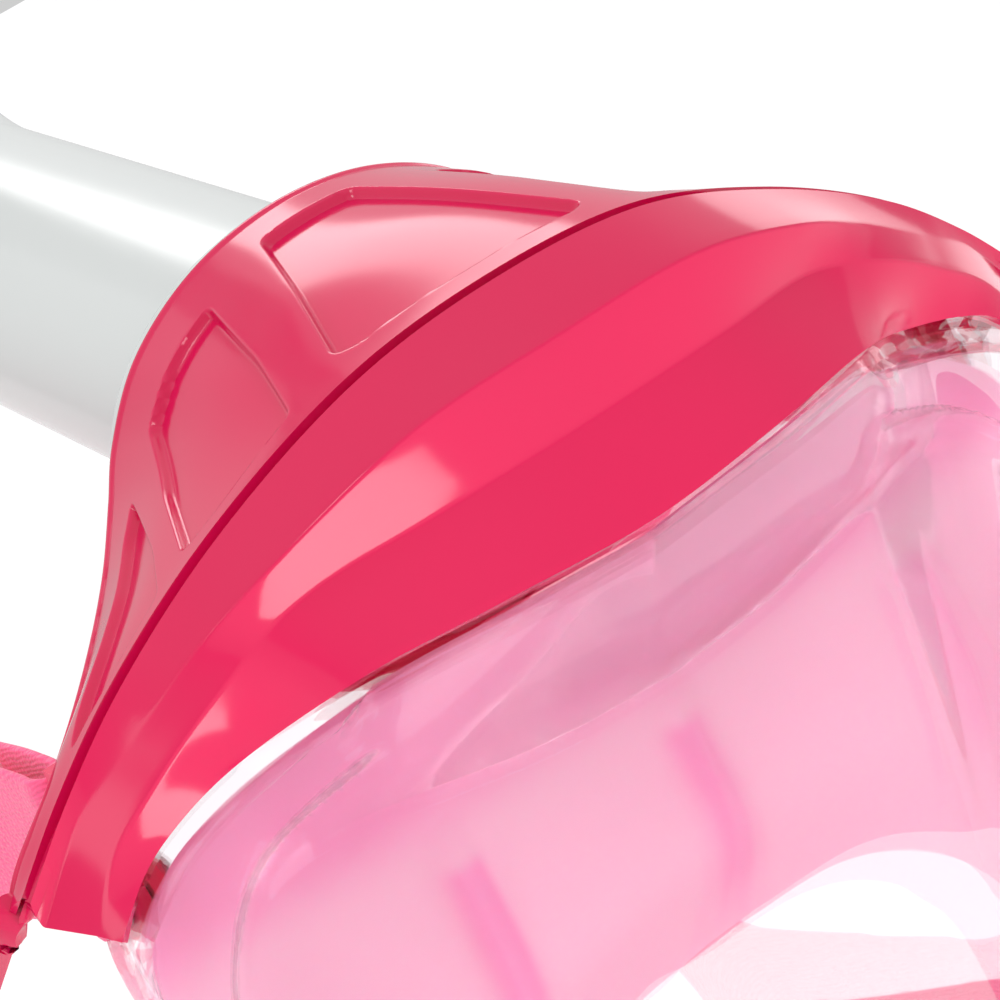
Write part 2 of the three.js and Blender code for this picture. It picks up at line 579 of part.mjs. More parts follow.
const FLOAT_SEAL_HALF = [22, 19];
const FLOAT_SEAL_HEIGHT = 3;
const FLOAT_SEAL_WALL = 6;
const sealTop = HOUSING_TOP - CAP_SKIRT;
const sealSurface = gridSurface([flatOval(FLOAT_SEAL_HALF, sealTop - FLOAT_SEAL_HEIGHT),
  flatOval(FLOAT_SEAL_HALF, sealTop)], { wrap: true });
addPart('float_seal', thicken(sealSurface, FLOAT_SEAL_WALL), sealRubber);

// ---------------------------------------------------------------- tube seal
const SEAL_FROM = -18;
const SEAL_TO = -15;
const sealOuter = TUBE_HALF.map(h => h + 0.65);
const sealInner = TUBE_HALF.map(h => h + 0.25);
ovalSleeve('tube_seal', [[SEAL_FROM, sealOuter], [SEAL_TO, sealOuter]], sealInner, SEAL_FROM, SEAL_TO, sealRubber);

// ---------------------------------------------------------------- harness
const PIVOT = [0, -5, 121];    // the line through both upper pins
const STRAP_RISE = 16;         // degrees the upper straps climb as they leave their buckles

// A flat strap along a path: its width stands along Z and its wall across the path.
function strap(path, width, wall, steps) {
  const curve = new THREE.CatmullRomCurve3(path.map(vec));
  const rings = curve.getSpacedPoints(steps).map((p, i) => {
    const ahead = curve.getTangentAt(i / steps);
    const across = new THREE.Vector3(ahead.y, -ahead.x, 0).normalize();
    const up = new THREE.Vector3().crossVectors(across, ahead).normalize();
    return [[-1, -1], [1, -1], [1, 1], [-1, 1]].map(([a, b]) =>
      p.clone().addScaledVector(across, a * wall / 2).addScaledVector(up, b * width / 2));
  });
  return solidLoft(rings);
}

// A flat plate in the plane across X, as an outline in Y and Z, from x0 to x1.
function sidePlate(outline, holes, x0, x1) {
  const shape = new THREE.Shape(outline.map(([y, z]) => new THREE.Vector2(y, z)));
  holes.forEach(hole => shape.holes.push(hole));
  const plate = new THREE.ExtrudeGeometry(shape, { depth: x1 - x0, bevelEnabled: false, curveSegments: 10 });
  plate.applyMatrix4(new THREE.Matrix4().makeBasis(
    new THREE.Vector3(0, 1, 0), new THREE.Vector3(0, 0, 1), new THREE.Vector3(1, 0, 0)));
  return plate.translate(x0, 0, 0);
}

function roundHole(y, z, radius) {
  return new THREE.Path().absarc(y, z, radius, 0, 2 * Math.PI, true);
}

function slotHole(corners) {
  return new THREE.Path(corners.map(([y, z]) => new THREE.Vector2(y, z)));
}

// Points given along the upper strap and across it, from the pivot, become points in Y and Z.
function alongStrap(points) {
  const rise = THREE.MathUtils.degToRad(STRAP_RISE);
  return points.map(([along, over]) => [
    PIVOT[1] + along * Math.cos(rise) - over * Math.sin(rise),
    PIVOT[2] + along * Math.sin(rise) + over * Math.cos(rise)]);
}

const PIN_RADIUS = 2.2;
const PIN_HEAD_RADIUS = 3.5;
const PIN_PLAY = 0.4;
const LUG_X = [74.6, 77.2];
const BUCKLE_X = [71, 73.8];
const HOOK_X = [77.4, 80.2];
const CLIP_X = [81, 83.8];
const PIN_HEAD_WALL = 1.2;
const UPPER_STRAP = [[72.4, 11, 127.3], [74, 22, 130.5], [78.5, 48, 134], [77.5, 88, 124], [64, 132, 97],
  [45, 162, 71], [28, 174.4, 57.5]];
const LOWER_STRAP = [[82.2, 40, 2], [81, 68, 3], [71, 108, 5], [53, 146, 13], [41, 163, 22], [27, 175, 31]];
const LUG_OUTLINE = [[-9, 117], [-6, 115.5], [-1, 116], [1, 121], [0, 127], [0, 135.5], [-8, 135.5], [-10, 127]];
const BUCKLE_OUTLINE = alongStrap([[-4.5, 0], [-3, -4], [3, -5], [6, -10], [15, -11], [15, 16], [6, 15], [3, 5],
  [-3, 4]]);
const BUCKLE_SLOT = alongStrap([[7.5, -9.5], [7.5, 13.5], [11.5, 14], [11.5, -9.5]]);
const LOWER_SLOT = [[28, -9], [28, 12], [31.5, 12], [31.5, -9]];
const CHIN_HOOK_OUTLINE = [[6, -6], [12, -5], [15, 1], [12, 7], [6, 8]];
const LOWER_CLIP_OUTLINE = [[16, -8], [34, -12], [37, -10], [37, 13], [34, 15], [16, 11]];

function mirrored(geometry, sign) {
  if (sign > 0) return geometry;
  const flipped = geometry.clone().scale(-1, 1, 1);
  const index = flipped.index ? [...flipped.index.array] : [...Array(flipped.attributes.position.count).keys()];
  for (let i = 0; i < index.length; i += 3) [index[i], index[i + 1]] = [index[i + 1], index[i]];
  flipped.setIndex(index);
  return flipped;
}

for (const [side, sign] of [['left', 1], ['right', -1]]) {
  const own = (name, geometry, material) => addPart(`${name}_${side}`, mirrored(geometry, sign), material);
  const pinHole = roundHole(PIVOT[1], PIVOT[2], PIN_RADIUS + PIN_PLAY);
  own('strap_lug', sidePlate(LUG_OUTLINE, [pinHole], ...LUG_X), pinkShell);
  own('upper_buckle', sidePlate(BUCKLE_OUTLINE, [pinHole, slotHole(BUCKLE_SLOT)], ...BUCKLE_X), pinkClip);
  const innerHead = BUCKLE_X[0] - GAP;
  const outerHead = LUG_X[1] + GAP;
  const pin = toManifold(rod(PIN_RADIUS, innerHead - PIN_HEAD_WALL, outerHead + PIN_HEAD_WALL))
    .add(toManifold(rod(PIN_HEAD_RADIUS, innerHead - PIN_HEAD_WALL, innerHead)))
    .add(toManifold(rod(PIN_HEAD_RADIUS, outerHead, outerHead + PIN_HEAD_WALL)));
  own('pivot_pin', fromManifold(pin).applyMatrix4(placement(PIVOT, [1, 0, 0])), steel);
  own('upper_strap', strap(UPPER_STRAP, STRAP_WIDTH, STRAP_WALL, 14), strapFabric);
  own('lower_strap', strap(LOWER_STRAP, STRAP_WIDTH, STRAP_WALL, 14), strapFabric);
  own('lower_hook', sidePlate(CHIN_HOOK_OUTLINE, [], ...HOOK_X), pinkShell);
  own('lower_clip', sidePlate(LOWER_CLIP_OUTLINE, [slotHole(LOWER_SLOT)], ...CLIP_X), pinkClip);
}

// ---------------------------------------------------------------- head pad
const PAD_HALF = [[0, 187], [14, 185.6], [25, 180.5]];
const PAD_WALL = 4;
const PAD_ROWS = [[69, 0.92], [42, 1], [15, 0.92]];   // height and share of the full width
const padRows = PAD_ROWS.map(([z, share]) => archRow(PAD_HALF.map(([x, y]) => [x * share, y, z]), 12));
addPart('head_pad', thicken(gridSurface(padRows), PAD_WALL), strapFabric);

export default object;
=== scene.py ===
"""The full face snorkel as seen close up: pink crown and band, clear window, silicone skirt, white tube."""

import math

import bmesh
import bpy
import numpy as np
from mathutils import Matrix, Vector


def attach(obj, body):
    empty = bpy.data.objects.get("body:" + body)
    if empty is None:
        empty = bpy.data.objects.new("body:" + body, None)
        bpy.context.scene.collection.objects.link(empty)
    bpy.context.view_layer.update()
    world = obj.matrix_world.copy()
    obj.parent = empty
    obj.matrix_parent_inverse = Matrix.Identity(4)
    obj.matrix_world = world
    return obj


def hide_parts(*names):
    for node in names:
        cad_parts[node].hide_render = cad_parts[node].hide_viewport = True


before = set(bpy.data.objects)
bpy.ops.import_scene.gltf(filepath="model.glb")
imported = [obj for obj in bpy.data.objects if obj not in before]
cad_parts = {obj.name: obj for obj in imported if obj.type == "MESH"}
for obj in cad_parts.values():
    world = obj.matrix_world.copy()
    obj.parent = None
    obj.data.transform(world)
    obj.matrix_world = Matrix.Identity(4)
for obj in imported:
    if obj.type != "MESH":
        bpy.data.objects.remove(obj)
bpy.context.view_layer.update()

# Lengths are in millimetres, in the frame's axes: +Z up, -Y to the front, +X to the wearer's left.
MM = 0.001
SHELL_WALL = 2.4
LENS_WALL = 2.6
LENS_DROP = 2.7         # the window's visible edge starts this far below the band
SKIRT_WALL = 2.2
CUP_WALL = 1.8
GAP = 0.4               # between the tube and the housing on it
ARCH_COUNT = 1000       # points along a line from one side to the other
LOOP_COUNT = 480        # points round a closed loop
SPAN_STEPS = 80         # steps that stand for one span of a smooth curve
MOST_OF_FACET = 0.4     # a rounding takes no larger share of a facet than this,
MOST_OF_SIDE = 0.45     # nor of an outline's side than this
CORNER_STEPS = 6
MERGE_DISTANCE = 1e-7   # in metres
SIDES = (("left", 1), ("right", -1))


# ---------------- materials
def linear(colour):
    """A colour written as 0-255 values, turned by the sRGB curve into what the shader wants."""
    out = []
    for channel in colour:
        share = channel / 255
        out.append(share / 12.92 if share <= 0.04045 else ((share + 0.055) / 1.055) ** 2.4)
    return (*out, 1)


def set_sockets(node, values):
    """Gives the node's inputs their values; an underscore in a name stands for a space."""
    for socket, value in values.items():
        node.inputs[socket.replace("_", " ")].default_value = value
    return node


def new_node(nodes, kind, **values):
    """A shader node of this kind with its inputs set."""
    return set_sockets(nodes.new(f"ShaderNode{kind}"), values)


def new_material(name, colour, **values):
    """A principled material whose sockets are set directly; returns it with its nodes, links and shader."""
    material = bpy.data.materials.new(name)
    material.use_nodes = True
    nodes = material.node_tree.nodes
    shader = set_sockets(nodes["Principled BSDF"], {"Base_Color": linear(colour), **values})
    return material, nodes, material.node_tree.links, shader


def add_bump(nodes, links, shader, scale, strength, distance):
    """Fine moulding grain in object space."""
    where = new_node(nodes, "TexCoord")
    noise = new_node(nodes, "TexNoise", Scale=scale, Detail=2.0)
    bump = new_node(nodes, "Bump", Strength=strength, Distance=distance)
    links.new(where.outputs["Object"], noise.inputs["Vector"])
    links.new(noise.outputs["Fac"], bump.inputs["Height"])
    links.new(bump.outputs["Normal"], shader.inputs["Normal"])
    return noise


def let_through(nodes, links, shader, colour, share, kind="Translucent"):
    """Mixes in light that passes to the other side: scattered, as in thin moulded walls, or straight."""
    passing = new_node(nodes, f"Bsdf{kind}", Color=linear(colour))
    mix = new_node(nodes, "MixShader", Fac=share)
    links.new(shader.outputs["BSDF"], mix.inputs[1])
    links.new(passing.outputs["BSDF"], mix.inputs[2])
    links.new(mix.outputs["Shader"], nodes["Material Output"].inputs["Surface"])
    return passing


def plastic(name, colour, roughness, grain=0.02, through=0.0):
    """Moulded plastic or rubber with a fine grain; a share of the light may pass through its wall."""
    material, nodes, links, shader = new_material(name, colour, Roughness=roughness, IOR=1.5)
    if through:
        let_through(nodes, links, shader, colour, through)
    noise = add_bump(nodes, links, shader, 90, grain, 0.0004)
    spread = new_node(nodes, "MapRange", To_Min=roughness * 0.85, To_Max=roughness * 1.15)
    links.new(noise.outputs["Fac"], spread.inputs["Value"])
    links.new(spread.outputs["Result"], shader.inputs["Roughness"])
    return material


CLEAR_IOR = 1.32        # below real acrylic's, so that the thick edges don't turn dark
STRAIGHT_SHARE = 0.5    # share of the light that passes the window without bending


def clear_plastic(name, colour):
    """A clear wall that bends part of the light and lets the rest pass straight."""
    material, nodes, links, shader = new_material(
        name, colour, Roughness=0.03, IOR=CLEAR_IOR, Transmission_Weight=1.0)
    let_through(nodes, links, shader, colour, STRAIGHT_SHARE, kind="Transparent")
    return material


PLEATS = ((-38, 4.2), (0, 4.2), (47, 4.2))      # middle and half width of each pleat
# The values from here to the clamp's fade place painted shade: a deeper pink on the skirt's pleats and
# towards its clamped edge.
PLEAT_SHADE_CORE = 0.4        # share of a pleat's half width that has the full painted shade
PLEAT_TOP_Z = 104
PLEAT_TOP_FADE = 3
PLEAT_FOOT_Z = 66
PLEAT_FOOT_FADE = 14
CLAMP_SHADE_Z = 104           # above this height the skirt's colour deepens towards its clamped edge as painted shade; its wall keeps its thickness
CLAMP_SHADE_FADE = 12


def math_node(nodes, links, operation, *values):
    """A math node's result; each value is another node's output or a plain number."""
    made = new_node(nodes, "Math")
    made.operation = operation
    for socket, value in zip(made.inputs, values):
        if isinstance(value, bpy.types.NodeSocket):
            links.new(value, socket)
        else:
            socket.default_value = value
    return made.outputs["Value"]


def ramp_node(nodes, links, value, start, full):
    """A smooth step from 0 where the value is start to 1 where it is full."""
    made = new_node(nodes, "MapRange", From_Min=start * MM, From_Max=full * MM)
    made.interpolation_type = "SMOOTHSTEP"
    links.new(value, made.inputs["Value"])
    return made.outputs["Result"]


def paint_pleat_shade(nodes, links, plain, painted_shade):
    """Painted shade: a colour that deepens on the skirt's pleats and towards its clamped upper edge,
    standing in for light passing through more silicone.
    """
    where = new_node(nodes, "TexCoord")
    split = new_node(nodes, "SeparateXYZ")
    links.new(where.outputs["Object"], split.inputs["Vector"])
    across = split.outputs["X"]
    height = split.outputs["Z"]
    total = 0.0
    for middle, half_width in PLEATS:
        off = math_node(nodes, links, "SUBTRACT", across, middle * MM)
        distance = math_node(nodes, links, "ABSOLUTE", off)
        near = ramp_node(nodes, links, distance, half_width, half_width * PLEAT_SHADE_CORE)
        total = math_node(nodes, links, "MAXIMUM", total, near)
    below_top = ramp_node(nodes, links, height, PLEAT_TOP_Z, PLEAT_TOP_Z - PLEAT_TOP_FADE)
    above_foot = ramp_node(nodes, links, height, PLEAT_FOOT_Z, PLEAT_FOOT_Z + PLEAT_FOOT_FADE)
    clamp_shade = ramp_node(nodes, links, height, CLAMP_SHADE_Z, CLAMP_SHADE_Z + CLAMP_SHADE_FADE)
    for limit in (below_top, above_foot):
        total = math_node(nodes, links, "MULTIPLY", total, limit)
    total = math_node(nodes, links, "MAXIMUM", total, clamp_shade)
    blend = new_node(nodes, "MixRGB", Color1=linear(plain), Color2=linear(painted_shade))
    links.new(total, blend.inputs["Fac"])
    return blend.outputs["Color"]


def silicone(name, colour, through, share, painted_shade=None):
    """Milky skirt material: part of the light goes straight through to the other side."""
    material, nodes, links, shader = new_material(
        name, colour, Roughness=0.34, IOR=1.41, Subsurface_Weight=0.5, Subsurface_Scale=0.006)
    shader.inputs["Subsurface Radius"].default_value = (1.0, 0.55, 0.7)
    add_bump(nodes, links, shader, 30, 0.04, 0.001)
    passing = let_through(nodes, links, shader, through, share)
    # Where a shade colour is given, the pleats and the clamped edge get a deeper pink on the surface and on
    # the light let through: painted shade.
    if painted_shade:
        links.new(paint_pleat_shade(nodes, links, colour, painted_shade), shader.inputs["Base Color"])
        links.new(paint_pleat_shade(nodes, links, through, painted_shade), passing.inputs["Color"])
    return material


def knitted(name, colour):
    """Strap fabric: fine crossing ribs and a soft sheen."""
    material, nodes, links, shader = new_material(name, colour, Roughness=0.85, Sheen_Weight=0.4)
    where = new_node(nodes, "TexCoord")
    along = new_node(nodes, "TexWave", Scale=420, Distortion=4)
    along.bands_direction = "Z"
    cells = new_node(nodes, "TexVoronoi", Scale=1400)
    bump = new_node(nodes, "Bump", Strength=0.4, Distance=0.0004)
    shade = new_node(nodes, "MixRGB", Color1=linear([c * 0.93 for c in colour]), Color2=linear(colour))
    links.new(where.outputs["Object"], along.inputs["Vector"])
    links.new(where.outputs["Object"], cells.inputs["Vector"])
    total = math_node(nodes, links, "ADD", along.outputs["Fac"], cells.outputs["Distance"])
    links.new(total, bump.inputs["Height"])
    links.new(total, shade.inputs["Fac"])
    links.new(shade.outputs["Color"], shader.inputs["Base Color"])
    links.new(bump.outputs["Normal"], shader.inputs["Normal"])
    return material


def brushed(name, colour):
    """Metal with a fine grain."""
    material, nodes, links, shader = new_material(name, colour, Roughness=0.3, Metallic=1.0)
    add_bump(nodes, links, shader, 400, 0.15, 0.0002)
    return material


PINK = plastic("pink_gloss", (216, 12, 80), 0.13, through=0.14)
WHITE = plastic("white_gloss", (198, 201, 200), 0.2)
CLIP = plastic("clip_pink", (230, 40, 92), 0.32, grain=0.05)
CLEAR = clear_plastic("clear_window", (255, 249, 252))
# The skirt's deeper pink (255, 192, 224) is painted shade on its pleats and clamped edge.
SKIRT = silicone("skirt_silicone", (255, 226, 238), (255, 216, 233), 0.55, painted_shade=(255, 192, 224))
CUP = silicone("cup_silicone", (254, 200, 220), (255, 190, 214), 0.4)
RUBBER = plastic("valve_rubber", (232, 226, 228), 0.55, grain=0.1)
FABRIC = knitted("strap_fabric", (255, 95, 145))
STEEL = brushed("steel", (190, 192, 196))
SEAL = plastic("seal_rubber", (80, 82, 86), 0.6, grain=0.1)
FOAM = plastic("float_foam", (240, 156, 66), 0.7, grain=0.6)


# ---------------- curves
def smooth_step(share):
    """Eases a share between 0 and 1 at both ends."""
    return share * share * (3 - 2 * share)


def smooth_line(points, count):
    """The centripetal Catmull-Rom curve through the points, as count points equally spaced along it."""
    p = np.array(points, float)
    p = np.vstack([2 * p[0] - p[1], p, 2 * p[-1] - p[-2]])
    step = np.sqrt(np.maximum(np.linalg.norm(np.diff(p, axis=0), axis=1), 1e-9))
    share = np.linspace(0, 1, SPAN_STEPS, endpoint=False)[:, None]
    pieces = []
    for i in range(1, len(p) - 2):
        a, b, c = step[i - 1], step[i], step[i + 1]
        leave = ((p[i] - p[i - 1]) / a - (p[i + 1] - p[i - 1]) / (a + b) + (p[i + 1] - p[i]) / b) * b
        arrive = ((p[i + 1] - p[i]) / b - (p[i + 2] - p[i]) / (b + c) + (p[i + 2] - p[i + 1]) / c) * b
        s2, s3 = share ** 2, share ** 3
        pieces.append((2 * s3 - 3 * s2 + 1) * p[i] + (s3 - 2 * s2 + share) * leave
                      + (3 * s2 - 2 * s3) * p[i + 1] + (s3 - s2) * arrive)
    dense = np.vstack([*pieces, p[-2:-1]])
    length = np.concatenate([[0], np.cumsum(np.linalg.norm(np.diff(dense, axis=0), axis=1))])
    at = np.linspace(0, length[-1], count)
    return np.stack([np.interp(at, length, dense[:, k]) for k in range(3)], axis=1)


def both_sides(half):
    """A half line from the middle outwards becomes the whole line from -X to +X."""
    return [[-x, y, z] for x, y, z in reversed(half) if x > 0] + [list(p) for p in half]


def arch(half, count=ARCH_COUNT):
    """A smooth line from side to side from its half, middle outwards."""
    return smooth_line(both_sides(half), count)


def loop(half, count=LOOP_COUNT):
    """A closed symmetric loop from its half, top middle to bottom middle."""
    right = smooth_line(half, count // 2 + 1)
    left = right[1:-1][::-1] * np.array([-1, 1, 1])
    return np.vstack([right, left])


def round_corners(rows, radius, steps=5, between=4):
    """Rows joined by flat facets, with each fold between two facets rounded to about the radius."""
    rows = np.array(rows)
    out = [rows[0]]
    for i in range(1, len(rows)):
        before = rows[i - 1]
        here = rows[i]
        gap = np.linalg.norm(here - before, axis=1, keepdims=True)
        start = out[-1]
        if i == len(rows) - 1:
            end = here
        else:
            end = here + (before - here) * np.minimum(radius / np.maximum(gap, 1e-6), MOST_OF_FACET)
        for share in np.linspace(0, 1, between + 2)[1:]:
            out.append(start + (end - start) * share)
        if i < len(rows) - 1:
            after = rows[i + 1]
            gap = np.linalg.norm(after - here, axis=1, keepdims=True)
            leave = here + (after - here) * np.minimum(radius / np.maximum(gap, 1e-6), MOST_OF_FACET)
            for share in np.linspace(0, 1, steps + 1)[1:]:
                out.append((1 - share) ** 2 * end + 2 * share * (1 - share) * here + share ** 2 * leave)
    return np.array(out)


def smooth_rows(rows, count):
    """Rows blended smoothly across: each column of control points becomes a curve."""
    rows = np.array(rows)
    return np.stack([smooth_line(rows[:, c], count) for c in range(rows.shape[1])], axis=1)


# ---------------- surfaces
def grid_normals(rows, wrap):
    """The outward direction at each grid point; a row shrunk to one point takes its neighbour's."""
    if wrap:
        along = np.roll(rows, -1, axis=1) - np.roll(rows, 1, axis=1)
    else:
        along = np.gradient(rows, axis=1)
    across = np.gradient(rows, axis=0)
    normal = np.cross(across, along)
    size = np.linalg.norm(normal, axis=2, keepdims=True)
    flat = size[:, :, 0].max(axis=1) < 1e-9
    normal = normal / np.maximum(size, 1e-9)
    for r in np.where(flat)[0]:
        mean = normal[r - 1].mean(axis=0)
        normal[r] = mean / np.linalg.norm(mean)
    return normal


def mesh_object(name, points, faces, material, edge=0):
    """Millimetre points and faces become a smooth shaded closed piece with its seams merged."""
    mesh = bpy.data.meshes.new(name)
    mesh.from_pydata((np.array(points) * MM).tolist(), [], faces)
    work = bmesh.new()
    work.from_mesh(mesh)
    bmesh.ops.remove_doubles(work, verts=work.verts, dist=MERGE_DISTANCE)
    bmesh.ops.recalc_face_normals(work, faces=work.faces)
    for face in work.faces:
        face.smooth = True
    work.to_mesh(mesh)
    work.free()
    mesh.materials.append(material)
    made = bpy.data.objects.new(name, mesh)
    bpy.context.collection.objects.link(made)
    if edge:
        soften(made, edge)
    return made


def soften(made, width, angle=50, segments=3):
    """Rounds the piece's sharp edges."""
    bevel = made.modifiers.new("soft_edges", "BEVEL")
    bevel.width = width * MM
    bevel.segments = segments
    bevel.limit_method = "ANGLE"
    bevel.angle_limit = math.radians(angle)
    bevel.harden_normals = True
    return made


def wall(name, rows, thickness, material, wrap=False, edge=0.5, drop_first=None):
    """A surface given as rows of points becomes a wall, with its open edges closed and rounded.
    drop_first is the step from the first edge's outside to its inside, which slopes that edge."""
    rows = np.array(rows)
    count, across = rows.shape[:2]
    inner = rows - grid_normals(rows, wrap) * thickness
    if drop_first is not None:
        inner[0] = rows[0] + np.array(drop_first)
    total = count * across
    faces = []
    last = across if wrap else across - 1
    for r in range(count - 1):
        for c in range(last):
            a = r * across + c
            b = r * across + (c + 1) % across
            faces.append((a, a + across, b + across, b))
            faces.append((a + total, b + total, b + across + total, a + across + total))
    for r in (0, count - 1):
        for c in range(last):
            a = r * across + c
            b = r * across + (c + 1) % across
            faces.append((a, b, b + total, a + total))
    if not wrap:
        for c in (0, across - 1):
            for r in range(count - 1):
                a = r * across + c
                b = a + across
                faces.append((a, b, b + total, a + total))
    points = np.vstack([rows.reshape(-1, 3), inner.reshape(-1, 3)])
    return mesh_object(name, points, faces, material, edge)


def ring_faces(row, across):
    """The four-sided faces between one closed ring of points and the next."""
    faces = []
    for c in range(across):
        a = row * across + c
        b = row * across + (c + 1) % across
        faces.append((a, b, b + across, a + across))
    return faces


def bar(name, rings, material, edge=0.4):
    """Closed rings of equal count become a solid bar with flat ends."""
    rings = np.array(rings)
    count, across = rings.shape[:2]
    faces = [tuple(range(across)), tuple(range((count - 1) * across, count * across))]
    for r in range(count - 1):
        faces += ring_faces(r, across)
    return mesh_object(name, rings.reshape(-1, 3), faces, material, edge)


def sleeve(name, outer_rings, inner_rings, material, edge=0.3):
    """A tube closed on itself: outside rings one way, inside rings back."""
    rings = np.array([*outer_rings, *inner_rings, outer_rings[0]])
    count, across = rings.shape[:2]
    faces = []
    for r in range(count - 1):
        faces += ring_faces(r, across)
    return mesh_object(name, rings.reshape(-1, 3), faces, material, edge)


def own_axes(out):
    """The unit vector along out, and two more square to it and to each other."""
    out = np.array(out, float) / np.linalg.norm(out)
    aside = np.cross(out, [0, 0, 1.0] if abs(out[2]) < 0.9 else [1.0, 0, 0])
    aside /= np.linalg.norm(aside)
    return out, aside, np.cross(out, aside)


def lathe(name, profile, centre, out, material, sides=72, edge=0.25):
    """A round piece: profile points are (radius, height along out), closed on themselves or on the axis."""
    out, aside, third = own_axes(out)
    centre = np.array(centre, float)
    points = []
    for radius, height in profile:
        for i in range(sides):
            angle = 2 * math.pi * i / sides
            spoke = aside * math.cos(angle) + third * math.sin(angle)
            points.append(centre + out * height + spoke * radius)
    faces = []
    for r in range(len(profile) - 1):
        on_axis = profile[r][0] == 0 and profile[r + 1][0] == 0
        if not on_axis:
            faces += ring_faces(r, sides)
    return mesh_object(name, points, faces, material, edge)


def block(centre, out, size, shift=(0, 0, 0)):
    """A box standing on a round piece's own axes, as a plain mesh object for cutting or joining."""
    out, aside, third = own_axes(out)
    middle = np.array(centre, float) + aside * shift[0] + third * shift[1] + out * shift[2]
    corners = []
    for w in (-0.5, 0.5):
        for u, v in ((-0.5, -0.5), (0.5, -0.5), (0.5, 0.5), (-0.5, 0.5)):
            corners.append(middle + aside * u * size[0] + third * v * size[1] + out * w * size[2])
    faces = [(0, 1, 2, 3), (4, 5, 6, 7), (0, 1, 5, 4), (1, 2, 6, 5), (2, 3, 7, 6), (3, 0, 4, 7)]
    return mesh_object("cutter", corners, faces, CLIP)


def combine(made, operation, tools):
    """Cuts the tools out of the piece, or joins them to it, and removes them."""
    rounding = made.modifiers.get("soft_edges")
    width = rounding.width / MM if rounding else 0
    made.modifiers.clear()
    for tool in tools:
        boolean = made.modifiers.new("combine", "BOOLEAN")
        boolean.operation = operation
        boolean.solver = "EXACT"
        boolean.object = tool
    ready = bpy.context.evaluated_depsgraph_get()
    made.data = bpy.data.meshes.new_from_object(made.evaluated_get(ready))
    made.modifiers.clear()
    for tool in tools:
        bpy.data.objects.remove(tool)
    return soften(made, width) if width else made


def place_piece(made, body, slot, *nodes):
    """The piece rides on its body and stands for the CAD nodes, which it hides; the slot is not used."""
    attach(made, body)
    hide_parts(*nodes)
    return made


# ---------------- control lines of the front
BAND_TOP = [(0, -40, 170.6), (25, -39, 168.5), (50, -30.7, 159.5), (70, -23.5, 148.2), (82, -17.6, 138.3),
            (91, -12.2, 129)]
BAND_UPPER_CREASE = [(0, -47, 160.5), (25, -47.5, 160), (45, -41, 154.8), (60, -31.2, 148.7),
                     (72, -24, 141.7), (82, -17.5, 135.2), (90.5, -10.5, 125.1)]
BAND_LOWER_CREASE = [(0, -45, 148.3), (25, -43.7, 148.4), (46, -36.4, 147.6), (60, -32.2, 142.5),
                     (72, -25.4, 135.5), (80, -20.3, 129.8), (86.4, -16, 121)]
LENS_TOP_EDGE = [(0, -48.3, 132.7), (25, -47.5, 134.3), (45, -39.8, 134.8), (62, -24.6, 131.4),
                 (72, -22, 128.4), (78, -20.9, 125.4), (84.8, -18.3, 119)]
LENS_SIDE_EDGE = [(86, -14, 96), (85, -10, 60), (80, -9, 20), (71, -13, -22), (57, -22, -58), (36, -34, -82),
                  (0, -42, -90)]
WINDOW_CREASE = [(0, -31, 108.2), (20, -30.6, 109.6), (40, -29.2, 113), (52, -24, 114.5), (62, -20.5, 113.5),
                 (70, -20, 108), (75.5, -20, 95), (77, -18, 60), (72, -18, 20), (63, -22, -20),
                 (50, -31, -52), (31, -42, -74), (0, -49, -81)]
WINDOW_CENTRE = np.array([0, -52, 15.0])
SKIRT_CLAMP = [(0, -40.5, 128.5), (25, -39.5, 130), (45, -32, 130), (60, -19, 126.5), (72, -15, 122),
               (79, -12, 114), (81, -9, 95), (80, -5, 60), (75, -4, 20), (66, -8, -20), (52.5, -17, -54),
               (33, -29, -76), (0, -36.5, -84)]
SKIRT_SHOULDER = [(0, -24, 107), (20, -23.5, 108), (40, -21, 108.5), (55, -14, 108), (66, -8, 103),
                  (72, -3, 88), (72, 2, 60), (67, 4, 20), (58, 1, -18), (46, -8, -48), (28, -19, -68),
                  (0, -26, -76)]
SKIRT_ROLL = [(0, -22, 85), (20, -21.5, 84.5), (38, -18, 80), (53, -9, 69), (63, 1, 45), (66, 7, 15),
              (63, 7, -15), (52, 0, -43), (31, -10, -63), (0, -17, -73)]
FACE_OPENING = [(0, -8, 70), (20, -9, 69), (33, -7.5, 63), (46, -1, 50), (56, 9, 28), (60, 15, 0),
                (57, 15, -25), (46, 9, -50), (26, -1, -66), (0, -6, -71)]
CROWN_ARM_BACK = [(42, 15, 165.5), (51, 9, 157.5), (66, -1, 147.6), (77, -4, 139.8), (88, -2, 130.8),
                  (92, 0, 124)]
CHIN_LIP = [(0, -49, -90), (35, -41.5, -81.5), (56, -29, -58), (70.5, -20, -21), (80, -16.5, 21),
            (85.3, -17, 60), (86, -21, 93)]
CHIN_FRONT = [(0, -46, -94), (37.5, -38, -85.5), (60, -25.5, -61), (74.5, -16, -23), (84, -12.5, 20),
              (89, -13, 60), (90, -17, 93)]
CHIN_BACK = [(0, -30, -95), (37, -21, -86.5), (59.5, -9, -62), (74, 1, -24), (83.5, 5, 19), (88.5, 4, 60),
             (89.5, 0, 93)]
CUP_RIM = [(0, -9, 12), (14, -3, 3), (26, 5, -18), (32, 8, -38), (27, 5, -55), (13, 0, -64), (0, -2, -66)]
CUP_FRONT = np.array([0, -37, -33.0])

